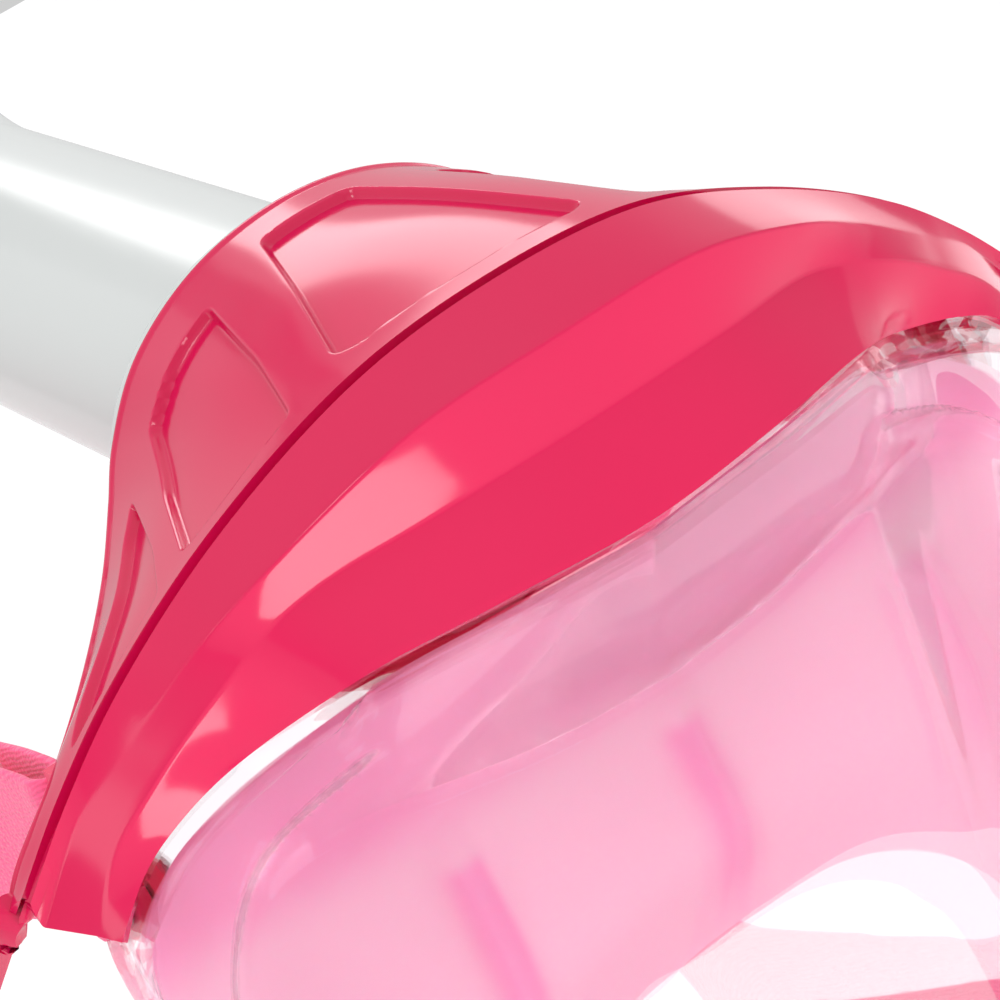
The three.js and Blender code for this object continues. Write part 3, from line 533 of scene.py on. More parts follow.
RIM_CENTRE = np.array([0, 20.6, 162.3])
RIM_HALF = (39, 30.6)
TUBE_LEAN = math.radians(22.6)
TUBE_AXIS = np.array([0, math.cos(TUBE_LEAN), math.sin(TUBE_LEAN)])
RIM_UP = np.array([0, -math.sin(TUBE_LEAN), math.cos(TUBE_LEAN)])
ACROSS = np.array([1.0, 0, 0])


def oval_point(half, along, angle):
    """A point of an oval square to the tube; angle 0 is its upper front."""
    return (RIM_CENTRE + TUBE_AXIS * along + RIM_UP * half[1] * math.cos(angle)
            + ACROSS * half[0] * math.sin(angle))


def oval_ring(half, along, sides=120):
    """A ring round the tube's axis, this far along it."""
    return np.array([oval_point(half, along, 2 * math.pi * i / sides) for i in range(sides)])


# ---------------- front band
BAND_ROUNDING = 0.5
BAND_EDGE_SLOPE = (0, 0.7, -2.2)        # from the outside to the inside of the band's top edge
band_rows = [arch(line) for line in (BAND_TOP, BAND_UPPER_CREASE, BAND_LOWER_CREASE, LENS_TOP_EDGE)]
band = wall("front_band_moulded", round_corners(band_rows, BAND_ROUNDING), SHELL_WALL, PINK, edge=0.7,
            drop_first=BAND_EDGE_SLOPE)
place_piece(band, "mask", "pink_shell", "front_band")


# ---------------- crown with sunken panels
RIM_FRONT_ANGLES = (0, 24, 48, 70)      # the part of the rim that the crown's front rises to
CROWN_STEP = np.array([0, 2.2, 0.8])    # groove between the band's top edge and the crown
CROWN_SWELL = np.array([0, 0, 1.5])     # rise of the crown between its two edges
CROWN_ROWS = 170
CROWN_TAIL = np.array([0, 12, -5.5])
TAIL_COUNT = 40
RIM_BEAD = 0.35
RIM_BEAD_WIDTH = 1.3
rim_front = [oval_point(RIM_HALF, 0, math.radians(a)).tolist() for a in RIM_FRONT_ANGLES]
crown_back = arch([*rim_front, *CROWN_ARM_BACK])
crown_front = band_rows[0] + CROWN_STEP
crown_middle = (crown_front + crown_back) / 2 + CROWN_SWELL


def with_tails(row):
    """The arm's thin tail runs on past the band's end, on both sides."""
    steps = np.linspace(0, 1, TAIL_COUNT + 1)[1:, None]
    return np.vstack([(row[0] + CROWN_TAIL * steps)[::-1], row, row[-1] + CROWN_TAIL * steps])


crown_rows = smooth_rows([with_tails(row) for row in (crown_back, crown_middle, crown_front)], CROWN_ROWS)

# The sunken panels of one half: distance from the middle, and share of the way from rim to band.
MIDDLE_PANEL = [(8.4, 0.15), (-8.4, 0.15), (-15, 0.5), (-22.5, 0.87), (-19, 0.92), (0, 0.93), (19, 0.92),
                (22.5, 0.87), (15, 0.5)]
SIDE_PANELS = [
    [(20.3, 0.2), (35.5, 0.22), (44, 0.5), (52.5, 0.9), (46, 0.93), (31.8, 0.92), (26, 0.6)],
    [(42.5, 0.2), (48, 0.2), (56, 0.32), (63.6, 0.42), (71, 0.55), (77, 0.84), (70, 0.93), (58, 0.92),
     (51, 0.6)],
    [(76.5, 0.5), (80, 0.24), (85, 0.16), (89.6, 0.16), (91.2, 0.32), (90.6, 0.6), (86, 0.72), (80, 0.68)],
]
PANEL_CORNER = 2.0
PANEL_DEPTH = 1.5
PANEL_WALL = 0.9        # width of a panel's sloping wall
PANEL_MARGIN = 2        # grid points no further than this outside a panel are measured,
PANEL_REACH = 14        # and none further than this from its plane


def crown_point(x, share):
    """The crown's point nearest to this distance from the middle, this share of the way to the band."""
    row = crown_rows[int(round(share * (CROWN_ROWS - 1)))]
    middle = row[TAIL_COUNT:-TAIL_COUNT]
    return middle[np.argmin(np.abs(middle[:, 0] - x))]


def outline_distance(points, outline):
    """Signed distance in the plane from each point to a closed outline, negative inside."""
    nearest = np.full(len(points), 1e9)
    inside = np.zeros(len(points), bool)
    for start, end in zip(outline, np.roll(outline, -1, axis=0)):
        edge = end - start
        share = np.clip(((points - start) @ edge) / (edge @ edge), 0, 1)
        nearest = np.minimum(nearest, np.linalg.norm(points - start - share[:, None] * edge, axis=1))
        crosses = (start[1] > points[:, 1]) != (end[1] > points[:, 1])
        level = np.where(edge[1] == 0, 1e-9, edge[1])
        at = start[0] + (points[:, 1] - start[1]) / level * edge[0]
        inside ^= crosses & (points[:, 0] < at)
    return np.where(inside, -nearest, nearest)


def rounded_outline(corners, radius):
    """A closed outline with each corner cut by a short curve."""
    out = []
    count = len(corners)
    for i in range(count):
        here = corners[i]
        before = corners[i - 1] - here
        after = corners[(i + 1) % count] - here
        start = here + before * min(radius / np.linalg.norm(before), MOST_OF_SIDE)
        end = here + after * min(radius / np.linalg.norm(after), MOST_OF_SIDE)
        for share in np.linspace(0, 1, CORNER_STEPS + 1):
            out.append((1 - share) ** 2 * start + 2 * share * (1 - share) * here + share ** 2 * end)
    return np.array(out)


def sink_panel(rows, sink, corners):
    """Adds a panel's depth to the sink of the grid points inside its outline."""
    spots = np.array([crown_point(x, share) for x, share in corners])
    middle = spots.mean(axis=0)
    _, _, axes = np.linalg.svd(spots - middle)
    outline = rounded_outline((spots - middle) @ axes[:2].T, PANEL_CORNER)
    from_middle = rows.reshape(-1, 3) - middle
    flat = from_middle @ axes[:2].T
    off = np.abs(from_middle @ axes[2])
    low, high = outline.min(axis=0) - PANEL_MARGIN, outline.max(axis=0) + PANEL_MARGIN
    near = np.all((flat > low) & (flat < high), axis=1) & (off < PANEL_REACH)
    distance = outline_distance(flat[near], outline)
    ramp = smooth_step(np.clip(-distance / PANEL_WALL, 0, 1))
    depth = sink.reshape(-1)
    depth[near] = np.maximum(depth[near], ramp * PANEL_DEPTH)


crown_sink = np.zeros(crown_rows.shape[:2])
sink_panel(crown_rows, crown_sink, MIDDLE_PANEL)
for _, side in SIDES:
    for corners in SIDE_PANELS:
        sink_panel(crown_rows, crown_sink, [(x * side, share) for x, share in corners])
from_rim = np.concatenate([[np.zeros(crown_rows.shape[1])], np.cumsum(
    np.linalg.norm(np.diff(crown_rows, axis=0), axis=2), axis=0)])
# The half-round bead along the rim stands proud, so it takes from the sink.
crown_sink -= RIM_BEAD * np.clip(1 - (from_rim / RIM_BEAD_WIDTH - 0.5) ** 2 * 4, 0, 1) ** 0.5
crown_shape = crown_rows - grid_normals(crown_rows, False) * crown_sink[:, :, None]
crown = wall("crown_moulded", crown_shape, SHELL_WALL, PINK, edge=0.4)
place_piece(crown, "mask", "pink_shell", "crown")


# ---------------- clear window
def drawn_in(outline, centre, step):
    """A loop of a dome: its outline drawn in towards the centre, which it reaches at step 1."""
    swell = math.sin(step * math.pi / 2)
    return np.stack([outline[:, 0] * (1 - step), outline[:, 1] + (centre[1] - outline[:, 1]) * swell,
                     outline[:, 2] + (centre[2] - outline[:, 2]) * step], axis=1)


def edge_loop(top_shift, side_shift, side_share):
    """The window's outer edge: its top follows the band's lower edge, its sides run under the chin frame."""
    top = [(x, y + top_shift[0], z + top_shift[1]) for x, y, z in LENS_TOP_EDGE]
    sides = [(x * side_share, y + side_shift, z) for x, y, z in LENS_SIDE_EDGE]
    return loop([*top, *sides])


# From the hidden lip to the flank: shift of the top in Y and Z, shift of the sides in Y, share of their X.
FLANK_EDGES = [((2.6, 2.6), 2.5, 0.98), ((0.25, -0.35), 0.8, 0.99), ((0, -LENS_DROP), 0, 1)]
FLANK_EDGE_ROUNDING = 0.8
FLANK_ROWS = 26
FLANK_BELLY = 0.9
CREASE_ROUNDING = 0.5
WINDOW_ROWS = 40
WINDOW_FIRST_STEP = 0.04
LOBE_HEIGHT = 1.3
LOBE_CAP_X = 47         # where the side lobes start
LOBE_RUN = 24           # from half the flank's width there to all of it this far on
LOBE_CAP_SLOPE = 4
LOBE_CAP_BOW = 3
LOBE_SHOULDER = 0.22    # share of a lobe's half width taken by its slope
LOBE_LOWEST_Z = 60
flank = round_corners([edge_loop(*edge) for edge in FLANK_EDGES], FLANK_EDGE_ROUNDING)
lens_edge = flank[-1]
crease = loop(WINDOW_CREASE)
outward = grid_normals(np.array([lens_edge, crease]), True)[0]
lobes = []
for share in np.linspace(0, 1, FLANK_ROWS)[1:]:
    row = lens_edge + (crease - lens_edge) * share
    past_cap = np.abs(row[:, 0]) - LOBE_CAP_X
    reach = 0.5 + 0.5 * np.clip(past_cap / LOBE_RUN, 0, 1)
    across = np.clip(1 - np.abs(share / reach - 0.5) * 2, 0, 1)
    along = np.clip((past_cap + LOBE_CAP_BOW * (1 - across)) / LOBE_CAP_SLOPE, 0, 1)
    upper = row[:, 2] > LOBE_LOWEST_Z
    lift = LOBE_HEIGHT * smooth_step(np.clip(across / LOBE_SHOULDER, 0, 1) * along * upper)
    belly = FLANK_BELLY * math.sin(share * math.pi)
    lobes.append(row + outward * (lift + belly)[:, None])
window_steps = np.linspace(WINDOW_FIRST_STEP, 1, WINDOW_ROWS)
window_rows = [drawn_in(crease, WINDOW_CENTRE, step) for step in window_steps]
folded = round_corners([lobes[-2], crease, window_rows[0]], CREASE_ROUNDING)
lens_rows = [*flank, *lobes[:-1], *folded[1:], *window_rows[1:]]
lens = wall("lens_moulded", lens_rows, LENS_WALL, CLEAR, wrap=True, edge=0.5)
place_piece(lens, "mask", "clear_window", "lens")

# ---------------- skirt and nose cup
SKIRT_ROWS = 60
PLEAT_HEIGHT = 3.2
PLEAT_NARROWING = 0.5
PLEAT_START = 0.34      # as a share of the way from the clamp to the face opening
PLEAT_RISE = 0.08
PLEAT_END = 0.9
PLEAT_FALL = 0.3
PLEAT_LOWEST_Z = 50
CUP_COUNT = 160
CUP_ROWS = 30
skirt_lines = (SKIRT_CLAMP, SKIRT_SHOULDER, SKIRT_ROLL, FACE_OPENING)
skirt_rows = smooth_rows([loop(line) for line in skirt_lines], SKIRT_ROWS)
pleat_share = np.linspace(0, 1, SKIRT_ROWS)[:, None]
fade_in = np.clip((pleat_share - PLEAT_START) / PLEAT_RISE, 0, 1)
fade_out = np.clip((PLEAT_END - pleat_share) / PLEAT_FALL, 0, 1)
pleats = np.zeros(skirt_rows.shape[:2])
for x, half_width in PLEATS:
    width = half_width * (1 - PLEAT_NARROWING * pleat_share)
    ridge = np.exp(-((skirt_rows[:, :, 0] - x) / width) ** 2)
    pleats += PLEAT_HEIGHT * ridge * fade_in * fade_out * (skirt_rows[:, :, 2] > PLEAT_LOWEST_Z)
skirt_shape = skirt_rows + grid_normals(skirt_rows, True) * pleats[:, :, None]
skirt = wall("skirt_moulded", skirt_shape, SKIRT_WALL, SKIRT, wrap=True, edge=0.9)
place_piece(skirt, "mask", "skirt_silicone", "skirt")

cup_rim = loop(CUP_RIM, CUP_COUNT)
cup_rows = [drawn_in(cup_rim, CUP_FRONT, step) for step in np.linspace(0, 1, CUP_ROWS)]
cup = wall("nose_cup_moulded", cup_rows, CUP_WALL, CUP, wrap=True, edge=0.6)
place_piece(cup, "mask", "skirt_silicone", "nose_cup")

# ---------------- chin frame
CHIN_COUNT = 240
CHIN_ROUNDING = 1.6
chin_rows = [arch(line, CHIN_COUNT) for line in (CHIN_LIP, CHIN_FRONT, CHIN_BACK)]
chin = wall("chin_frame_moulded", round_corners(chin_rows, CHIN_ROUNDING), SHELL_WALL, PINK, edge=0.6)
place_piece(chin, "mask", "pink_shell", "chin_frame")

# ---------------- collar and tube
TUBE_HALF = (25.7, 20.2)
BORE_HALF = (26.6, 21.1)
COLLAR_FOOT = -0.6
COLLAR_LENGTH = 13
COLLAR_STATIONS = [(COLLAR_FOOT, (35, 26.6)), (1.6, (35, 26.6)), (1.9, (37.4, 29)), (2.6, (37.5, 29.1)),
                   (4.5, (36.4, 28.2)), (6.8, (34.2, 26.7)), (9, (31.6, 25)), (11.2, (29.6, 23.5)),
                   (COLLAR_LENGTH, (28.2, 22.5))]
BUTTON_ALONG = 6
# Radius of each step of the button's well, and its floor's distance from the tube's axis.
BUTTON_WELLS = ((4.5, 15), (7.1, 24.8))
WELL_TOP = 40
collar = sleeve("collar_moulded", [oval_ring(half, along) for along, half in COLLAR_STATIONS],
                [oval_ring(BORE_HALF, COLLAR_LENGTH), oval_ring(BORE_HALF, COLLAR_FOOT)], WHITE)
button_foot = oval_point((0, 0), BUTTON_ALONG, 0)
wells = []
for radius, low in BUTTON_WELLS:
    well_line = [(0, low), (radius, low), (radius, WELL_TOP), (0, WELL_TOP)]
    wells.append(lathe("well", well_line, button_foot, -RIM_UP, WHITE, edge=0))
combine(collar, "DIFFERENCE", wells)
place_piece(collar, "mask", "white_shell", "collar")

TUBE_WALL = 2.2
TUBE_STRAIGHT = 104
ELBOW_RADIUS = 46
ELBOW_STEPS = 40
TUBE_TOP_Z = 332
SPIGOT_STATIONS = (-24, -12, 4)     # the part inside the socket and collar, which doesn't taper
TAPER_START = 12
TAPER_STEP = 8
TAPER = 0.13
elbow_start = oval_point((0, 0), TUBE_STRAIGHT, 0)


def tube_half(share):
    """Half width and depth of the tube at this share of its straight length."""
    return [h * (1 - TAPER * share) for h in TUBE_HALF]


def station_ring(centre, heading, half, sides=96):
    """An oval ring square to a heading given as an angle above horizontal."""
    up = np.array([0, -math.sin(heading), math.cos(heading)])
    turns = [2 * math.pi * i / sides for i in range(sides)]
    return np.array([centre + up * half[1] * math.cos(t) + ACROSS * half[0] * math.sin(t) for t in turns])


tube_stations = [(oval_point((0, 0), along, 0), TUBE_LEAN, TUBE_HALF) for along in SPIGOT_STATIONS]
for along in range(TAPER_START, TUBE_STRAIGHT - 4, TAPER_STEP):
    tube_stations.append((oval_point((0, 0), along, 0), TUBE_LEAN, tube_half(along / TUBE_STRAIGHT)))
for i in range(ELBOW_STEPS + 1):
    heading = TUBE_LEAN + (math.pi / 2 - TUBE_LEAN) * i / ELBOW_STEPS
    centre = elbow_start + ELBOW_RADIUS * np.array([
        0, math.sin(heading) - math.sin(TUBE_LEAN), math.cos(TUBE_LEAN) - math.cos(heading)])
    tube_stations.append((centre, heading, tube_half(1)))
riser_y = tube_stations[-1][0][1]
tube_stations.append((np.array([0, riser_y, TUBE_TOP_Z]), math.pi / 2, tube_half(1)))
outer = [station_ring(*s) for s in tube_stations]
inner = [station_ring(c, h, [r - TUBE_WALL for r in half]) for c, h, half in reversed(tube_stations)]
tube = sleeve("snorkel_tube_moulded", outer, inner, WHITE, edge=0.4)
place_piece(tube, "snorkel", "white_shell", "snorkel_tube")

# ---------------- dry top
HOUSING_FOOT = TUBE_TOP_Z + GAP
HOUSING_HEIGHT = 74
HOUSING_TOP = HOUSING_FOOT + HOUSING_HEIGHT
HOUSING_WALL = 2
# Each line of the dry top gives half width, half depth and height.
HOUSING_LINE = [(21, 16.4, 0), (22.6, 18.4, 2), (25, 21, 5), (27.4, 23.7, 10), (29, 25.5, 16),
                (29.4, 25.9, 30), (29.5, 26, 60)]
HOUSING_COUNT = 40
VENT_SIZE = (34, 20, 5)
VENT_X = 26
VENT_FOOT = HOUSING_FOOT + 28
VENT_SPACING = 9
VENT_ROWS = 3
CAP_LINE = [(30, 26.5, -13.6), (30, 26.5, -6), (29.4, 25.9, -4), (28.4, 24.9, -2.4), (27, 23.5, -1.3),
            (25, 21.5, -0.4), (23, 19.5, 0)]
FLOAT_FOOT = HOUSING_FOOT + 20
FLOAT_HEIGHT = 24
FLOAT_BORE = (3.1, 3.1)
FLOAT_LINE = [(20, 17, 0), (22.4, 19, 1.2), (23.6, 20.1, 2.8), (24, 20.5, 4.6), (24, 20.5, 20),
              (23.4, 20, 22), (22, 18.8, 23.3), (20, 17, FLOAT_HEIGHT)]
SEAL_OUTSIDE = (22, 19)
SEAL_BORE = (16, 13)
SEAL_LOW = HOUSING_TOP - 17
SEAL_HIGH = HOUSING_TOP - 14


def flat_ring(half, z, sides=96):
    """A level oval ring round the riser's axis."""
    return station_ring(np.array([0, riser_y, z]), math.pi / 2, half, sides)


def flat_rings(line, foot, inset=0):
    """The level rings of one line, drawn in by the inset."""
    return [flat_ring((a - inset, b - inset), foot + z) for a, b, z in line]


housing_line = smooth_line(HOUSING_LINE, HOUSING_COUNT)
housing = sleeve("dry_top_body_moulded", flat_rings(housing_line, HOUSING_FOOT),
                 flat_rings(housing_line[::-1], HOUSING_FOOT, HOUSING_WALL), WHITE, edge=0)
vents = []
for side in (-1, 1):
    for row in range(VENT_ROWS):
        vents.append(block((side * VENT_X, riser_y, VENT_FOOT + row * VENT_SPACING), (0, 0, 1), VENT_SIZE))
combine(housing, "DIFFERENCE", vents)
soften(housing, 0.4)
place_piece(housing, "snorkel", "white_shell", "dry_top_body")

cap = bar("dry_top_cap_moulded", flat_rings(CAP_LINE, HOUSING_TOP), PINK, edge=0.5)
place_piece(cap, "snorkel", "pink_shell", "dry_top_cap")

floater = sleeve("float_moulded", flat_rings(FLOAT_LINE, FLOAT_FOOT),
                 [flat_ring(FLOAT_BORE, FLOAT_FOOT + FLOAT_HEIGHT), flat_ring(FLOAT_BORE, FLOAT_FOOT)], FOAM)
place_piece(floater, "dry_top_float", "float_foam", "float")
seal = sleeve("float_seal_moulded", [flat_ring(SEAL_OUTSIDE, SEAL_LOW), flat_ring(SEAL_OUTSIDE, SEAL_HIGH)],
              [flat_ring(SEAL_BORE, SEAL_HIGH), flat_ring(SEAL_BORE, SEAL_LOW)], SEAL, edge=0.6)
place_piece(seal, "snorkel", "seal_rubber", "float_seal")

# ---------------- valves
LIP_HEIGHT = 2.6
SEAT_RING = 2.4         # width of the ring that a flap lies on
SEAT_DEPTH = 4.5
SPOKE = 1.6
SPOKE_SHORTER = 3       # the spokes end this far short of the seat's outside, both ends together
FLAP_GAP = 0.3
FLAP_WALL = 0.8
FLAP_NIB = 1.6
FLAP_SHORTER = 0.5      # the flap's radius is this much less than the seat's
COVER_OVERHANG = 3.6
COVER_CLEARANCE = 1.4
COVER_FOOT = 0.9
COVER_WALL = 1.8
COVER_ROUNDING = 2.5
COVER_SLOT = (2.2, 6)   # width and depth
SLOT_SHIFTS = (-4.6, 0, 4.6)
# Name, seat radius, centre, outward direction, whether it has a cover, and the flap's body.
VALVES = []
for side_name, side in SIDES:
    VALVES.append((f"inhale_valve_{side_name}", 7, (17 * side, -13.5, -20), (-0.84 * side, 0.48, -0.25),
                   False, f"inhale_flap_{side_name}"))
    VALVES.append((f"exhaust_valve_{side_name}", 8, (52 * side, -29.5, -22), (0.6 * side, -0.8, 0), True,
                   f"exhaust_flap_{side_name}"))
VALVES.append(("chin_valve", 10, (0, -50.5, -56), (0, -1, 0), True, "chin_flap"))
for valve, radius, centre, out, covered, flap_body in VALVES:
    bore = radius - SEAT_RING
    seat_line = [(bore, -SEAT_DEPTH), (radius, -SEAT_DEPTH), (radius, LIP_HEIGHT), (bore, LIP_HEIGHT),
                 (bore, -SEAT_DEPTH)]
    seat = lathe(f"{valve}_seat_turned", seat_line, centre, out, WHITE)
    span = 2 * radius - SPOKE_SHORTER
    spokes = [block(centre, out, (span, SPOKE, SPOKE), (0, 0, -1)),
              block(centre, out, (SPOKE, span, SPOKE), (0, 0, -1))]
    combine(seat, "UNION", spokes)
    place_piece(seat, "mask", "white_shell", f"{valve}_seat")
    foot = LIP_HEIGHT + FLAP_GAP
    top = foot + FLAP_WALL
    edge = radius - FLAP_SHORTER
    flap_line = [(0, foot), (edge, foot), (edge, top), (FLAP_NIB, top), (0, top)]
    flap = lathe(f"{valve}_flap_turned", flap_line, centre, out, RUBBER, edge=0.3)
    place_piece(flap, flap_body, "valve_rubber", f"{valve}_flap")
    if covered:
        inside = radius + COVER_CLEARANCE
        rim = radius + COVER_OVERHANG
        top = radius + 1
        cover_line = [(inside, COVER_FOOT), (rim, COVER_FOOT), (rim, top - COVER_ROUNDING),
                      (rim - 0.7, top - 0.8), (rim - COVER_ROUNDING, top), (0, top), (0, top - COVER_WALL),
                      (radius, top - COVER_WALL), (inside, top - 2 * COVER_WALL), (inside, COVER_FOOT)]
        cover = lathe(f"{valve}_cover_turned", cover_line, centre, out, PINK, edge=0.35)
        slots = [block(centre, out, (2 * radius, *COVER_SLOT), (0, shift, top)) for shift in SLOT_SHIFTS]
        combine(cover, "DIFFERENCE", slots)
        place_piece(cover, "mask", "pink_shell", f"{valve}_cover")

# ---------------- screws, pins, button and spring
SMALL_SIDES = 48
SCREW_PLACES = (("upper", (90.1, -2, 78)), ("middle", (86.7, 0, 34)))
SCREW_HEAD = 1.4
SCREW_LINE = [(0, -4.5), (1.5, -4.5), (1.5, 0), (2.9, 0), (2.9, 0.9), (2.3, SCREW_HEAD), (0, SCREW_HEAD)]
SCREW_SLOT = (3.6, 0.8, 1.0)
PIN_PLACE = (0, -5, 121)
PIN_LINE = [(0, 69.4), (3.5, 69.4), (3.5, 70.6), (2.2, 70.6), (2.2, 77.6), (3.5, 77.6), (3.5, 78.8),
            (0, 78.8)]
for side_name, side in SIDES:
    outwards = (side, 0, 0)
    for level, (x, y, z) in SCREW_PLACES:
        centre = (x * side, y, z)
        screw = lathe(f"chin_screw_{level}_{side_name}_turned", SCREW_LINE, centre, outwards, STEEL,
                      sides=SMALL_SIDES)
        combine(screw, "DIFFERENCE", [block(centre, outwards, SCREW_SLOT, (0, 0, SCREW_HEAD))])
        place_piece(screw, "mask", "steel", f"chin_screw_{level}_{side_name}")
    pin = lathe(f"pivot_pin_{side_name}_turned", PIN_LINE, PIN_PLACE, outwards, STEEL, sides=SMALL_SIDES)
    place_piece(pin, "mask", "steel", f"pivot_pin_{side_name}")

BUTTON_LINE = [(0, 22.6), (4, 22.6), (4, 29.4), (6.6, 29.4), (6.6, 31), (6, 31.6), (3, 31.3), (0, 31.2)]
button = lathe("release_button_turned", BUTTON_LINE, button_foot, -RIM_UP, CLIP)
place_piece(button, "button", "clip_plastic", "release_button")

SPRING_TURNS = 2.5
SPRING_STEPS = 120
SPRING_FOOT = 25.5      # from the tube's axis
SPRING_HEIGHT = 1.5
SPRING_RADIUS = 5.5
WIRE_RADIUS = 0.3
WIRE_SIDES = 12
wire = []
for i in range(SPRING_STEPS + 1):
    turn = 2 * math.pi * SPRING_TURNS * i / SPRING_STEPS
    rise = SPRING_FOOT + SPRING_HEIGHT * i / SPRING_STEPS
    wire.append(button_foot - RIM_UP * rise + ACROSS * SPRING_RADIUS * math.cos(turn)
                + TUBE_AXIS * SPRING_RADIUS * math.sin(turn))
wire = np.array(wire)
ahead = np.gradient(wire, axis=0)
ahead /= np.linalg.norm(ahead, axis=1, keepdims=True)
side_way = np.cross(ahead, RIM_UP)
side_way /= np.linalg.norm(side_way, axis=1, keepdims=True)
over = np.cross(ahead, side_way)
wire_turns = np.linspace(0, 2 * math.pi, WIRE_SIDES, endpoint=False)
coil = []
for point, w, v in zip(wire, side_way, over):
    coil.append([point + WIRE_RADIUS * (w * math.cos(t) + v * math.sin(t)) for t in wire_turns])
spring = bar("release_spring_coil", coil, STEEL, edge=0)
place_piece(spring, "mask", "steel", "release_spring")

# ---------------- socket and the crown's back
SOCKET_HALF = (33, 26.4)
SOCKET_FOOT = -26
SOCKET_TOP = -1
BACK_LOW = [(0, 24, 118), (20, 21, 124), (36, 14, 137), (46, 6, 149)]
BACK_RIM_HALF = (37, 28.2)
BACK_RIM_ALONG = -3.5
BACK_RIM_ANGLES = (180, 150, 120, 92)
BACK_COUNT = 160
BACK_ROWS = 20
BACK_WALL = -2          # negative, because these rows face the other way
outer = [oval_ring(SOCKET_HALF, along) for along in (SOCKET_FOOT, SOCKET_TOP)]
inner = [oval_ring(BORE_HALF, along) for along in (SOCKET_TOP, SOCKET_FOOT)]
socket = sleeve("snorkel_socket_moulded", outer, inner, PINK, edge=0.4)
place_piece(socket, "mask", "pink_shell", "snorkel_socket")
back_rim = [oval_point(BACK_RIM_HALF, BACK_RIM_ALONG, math.radians(a)).tolist() for a in BACK_RIM_ANGLES]
back_low_row = arch(BACK_LOW, BACK_COUNT)
back_rim_row = arch(back_rim, BACK_COUNT)
back_rows = [back_low_row + (back_rim_row - back_low_row) * share for share in np.linspace(0, 1, BACK_ROWS)]
panel_back = wall("crown_back_moulded", back_rows, BACK_WALL, PINK, edge=0.5)
place_piece(panel_back, "mask", "pink_shell", "crown_back")


# ---------------- harness
STRAP_WIDTH = 25
STRAP_WALL = 1.9
STRAP_COUNT = 160
STRAP_SIDES = 36
UPPER_STRAP = [(69.6, 30, 132), (69.5, 18, 129.3), (70.2, 10, 127), (72.2, 7.6, 126.4), (74.3, 9.6, 127),
               (74.5, 15, 128.4), (75, 24, 130.8), (78.5, 48, 134), (77.5, 88, 124), (64, 132, 97),
               (45, 162, 71), (27, 175.6, 57), (16, 182.8, 50)]
LOWER_STRAP = [(86, 60, 2.5), (85.4, 46, 2), (85, 36, 1.6), (83.6, 30.6, 1.5), (81, 30, 1.5),
               (79.8, 34, 1.7), (79.9, 46, 2.2), (80, 68, 3), (71, 108, 5), (53, 146, 13), (41, 163, 22),
               (27, 175.4, 31), (16, 182.8, 37)]
STRAPS = (("upper_strap", UPPER_STRAP, "upper_buckle"), ("lower_strap", LOWER_STRAP, "lower_clip"))


def swollen(value, power):
    """A sine or cosine pushed outwards, so that an oval becomes a rounded rectangle."""
    return math.copysign(abs(value) ** power, value)


def strap(name, path, side, node):
    """Webbing along a path, its width upright and its long edges rounded."""
    line = smooth_line([(x * side, y, z) for x, y, z in path], STRAP_COUNT)
    ahead = np.gradient(line, axis=0)
    ahead /= np.linalg.norm(ahead, axis=1, keepdims=True)
    rings = []
    for point, tangent in zip(line, ahead):
        up = np.array([0, 0, 1.0]) - tangent * tangent[2]
        up /= np.linalg.norm(up)
        out = np.cross(tangent, up)
        ring = []
        for i in range(STRAP_SIDES):
            turn = 2 * math.pi * i / STRAP_SIDES
            width = STRAP_WIDTH / 2 * swollen(math.cos(turn), 0.3)
            depth = STRAP_WALL / 2 * swollen(math.sin(turn), 0.5)
            ring.append(point + up * width + out * depth)
        rings.append(ring)
    made = bar(name, rings, FABRIC, edge=0)
    length = float(np.linalg.norm(np.diff(line, axis=0), axis=1).sum())
    place_piece(made, "harness", "strap_fabric", node)
    return made, length * MM


for side_name, side in SIDES:
    for strap_name, path, clip in STRAPS:
        node = f"{strap_name}_{side_name}"
        made, length = strap(f"{node}_woven", path, side, node)

# ---------------- head pad
PAD_HALF = [(0, 187), (14, 185.6), (25, 180.5)]     # X and Y of half its middle line
PAD_LEVELS = ((69, 0.9), (62, 0.97), (42, 1), (22, 0.97), (15, 0.9))    # height, and share of the full width
PAD_EDGE_BEND = 4       # the pad's narrower levels lie further forward
PAD_HALF_WIDTH = 25
PAD_HALF_HEIGHT = 27
PAD_COUNT = 100
PAD_ROWS = 90
PAD_WALL = 4
PAD_EDGE_HALF = 0.9     # half thickness at the pad's rim
PAD_CROWN = 1.6         # extra half thickness of the stuffed middle
PAD_SHOULDER = 9        # the stuffing reaches its full height this far in from the rim
SEAM_INSET = 4.5
SEAM_DEPTH = 0.8
SEAM_HALF_WIDTH = 0.7
pad_lines = []
for z, share in PAD_LEVELS:
    pad_lines.append(arch([(x * share, y - (1 - share) * PAD_EDGE_BEND, z) for x, y in PAD_HALF], PAD_COUNT))
pad_rows = smooth_rows(pad_lines, PAD_ROWS)
pad_normals = grid_normals(pad_rows, False)
u = np.linspace(-1, 1, PAD_COUNT)[None, :]
v = np.linspace(-1, 1, PAD_ROWS)[:, None]
from_edge = np.minimum((1 - np.abs(u)) * PAD_HALF_WIDTH, (1 - np.abs(v)) * PAD_HALF_HEIGHT)
stuffing = np.sin(np.clip(from_edge / PAD_SHOULDER, 0, 1) * math.pi / 2)
seam_line = np.exp(-((from_edge - SEAM_INSET) / SEAM_HALF_WIDTH) ** 2)
half = (PAD_EDGE_HALF + PAD_CROWN * stuffing - SEAM_DEPTH * seam_line)[:, :, None]
pad = wall("head_pad_cushion", pad_rows - pad_normals * (PAD_WALL / 2 - half), 2 * half, FABRIC, edge=0.7)
place_piece(pad, "harness", "strap_fabric", "head_pad")

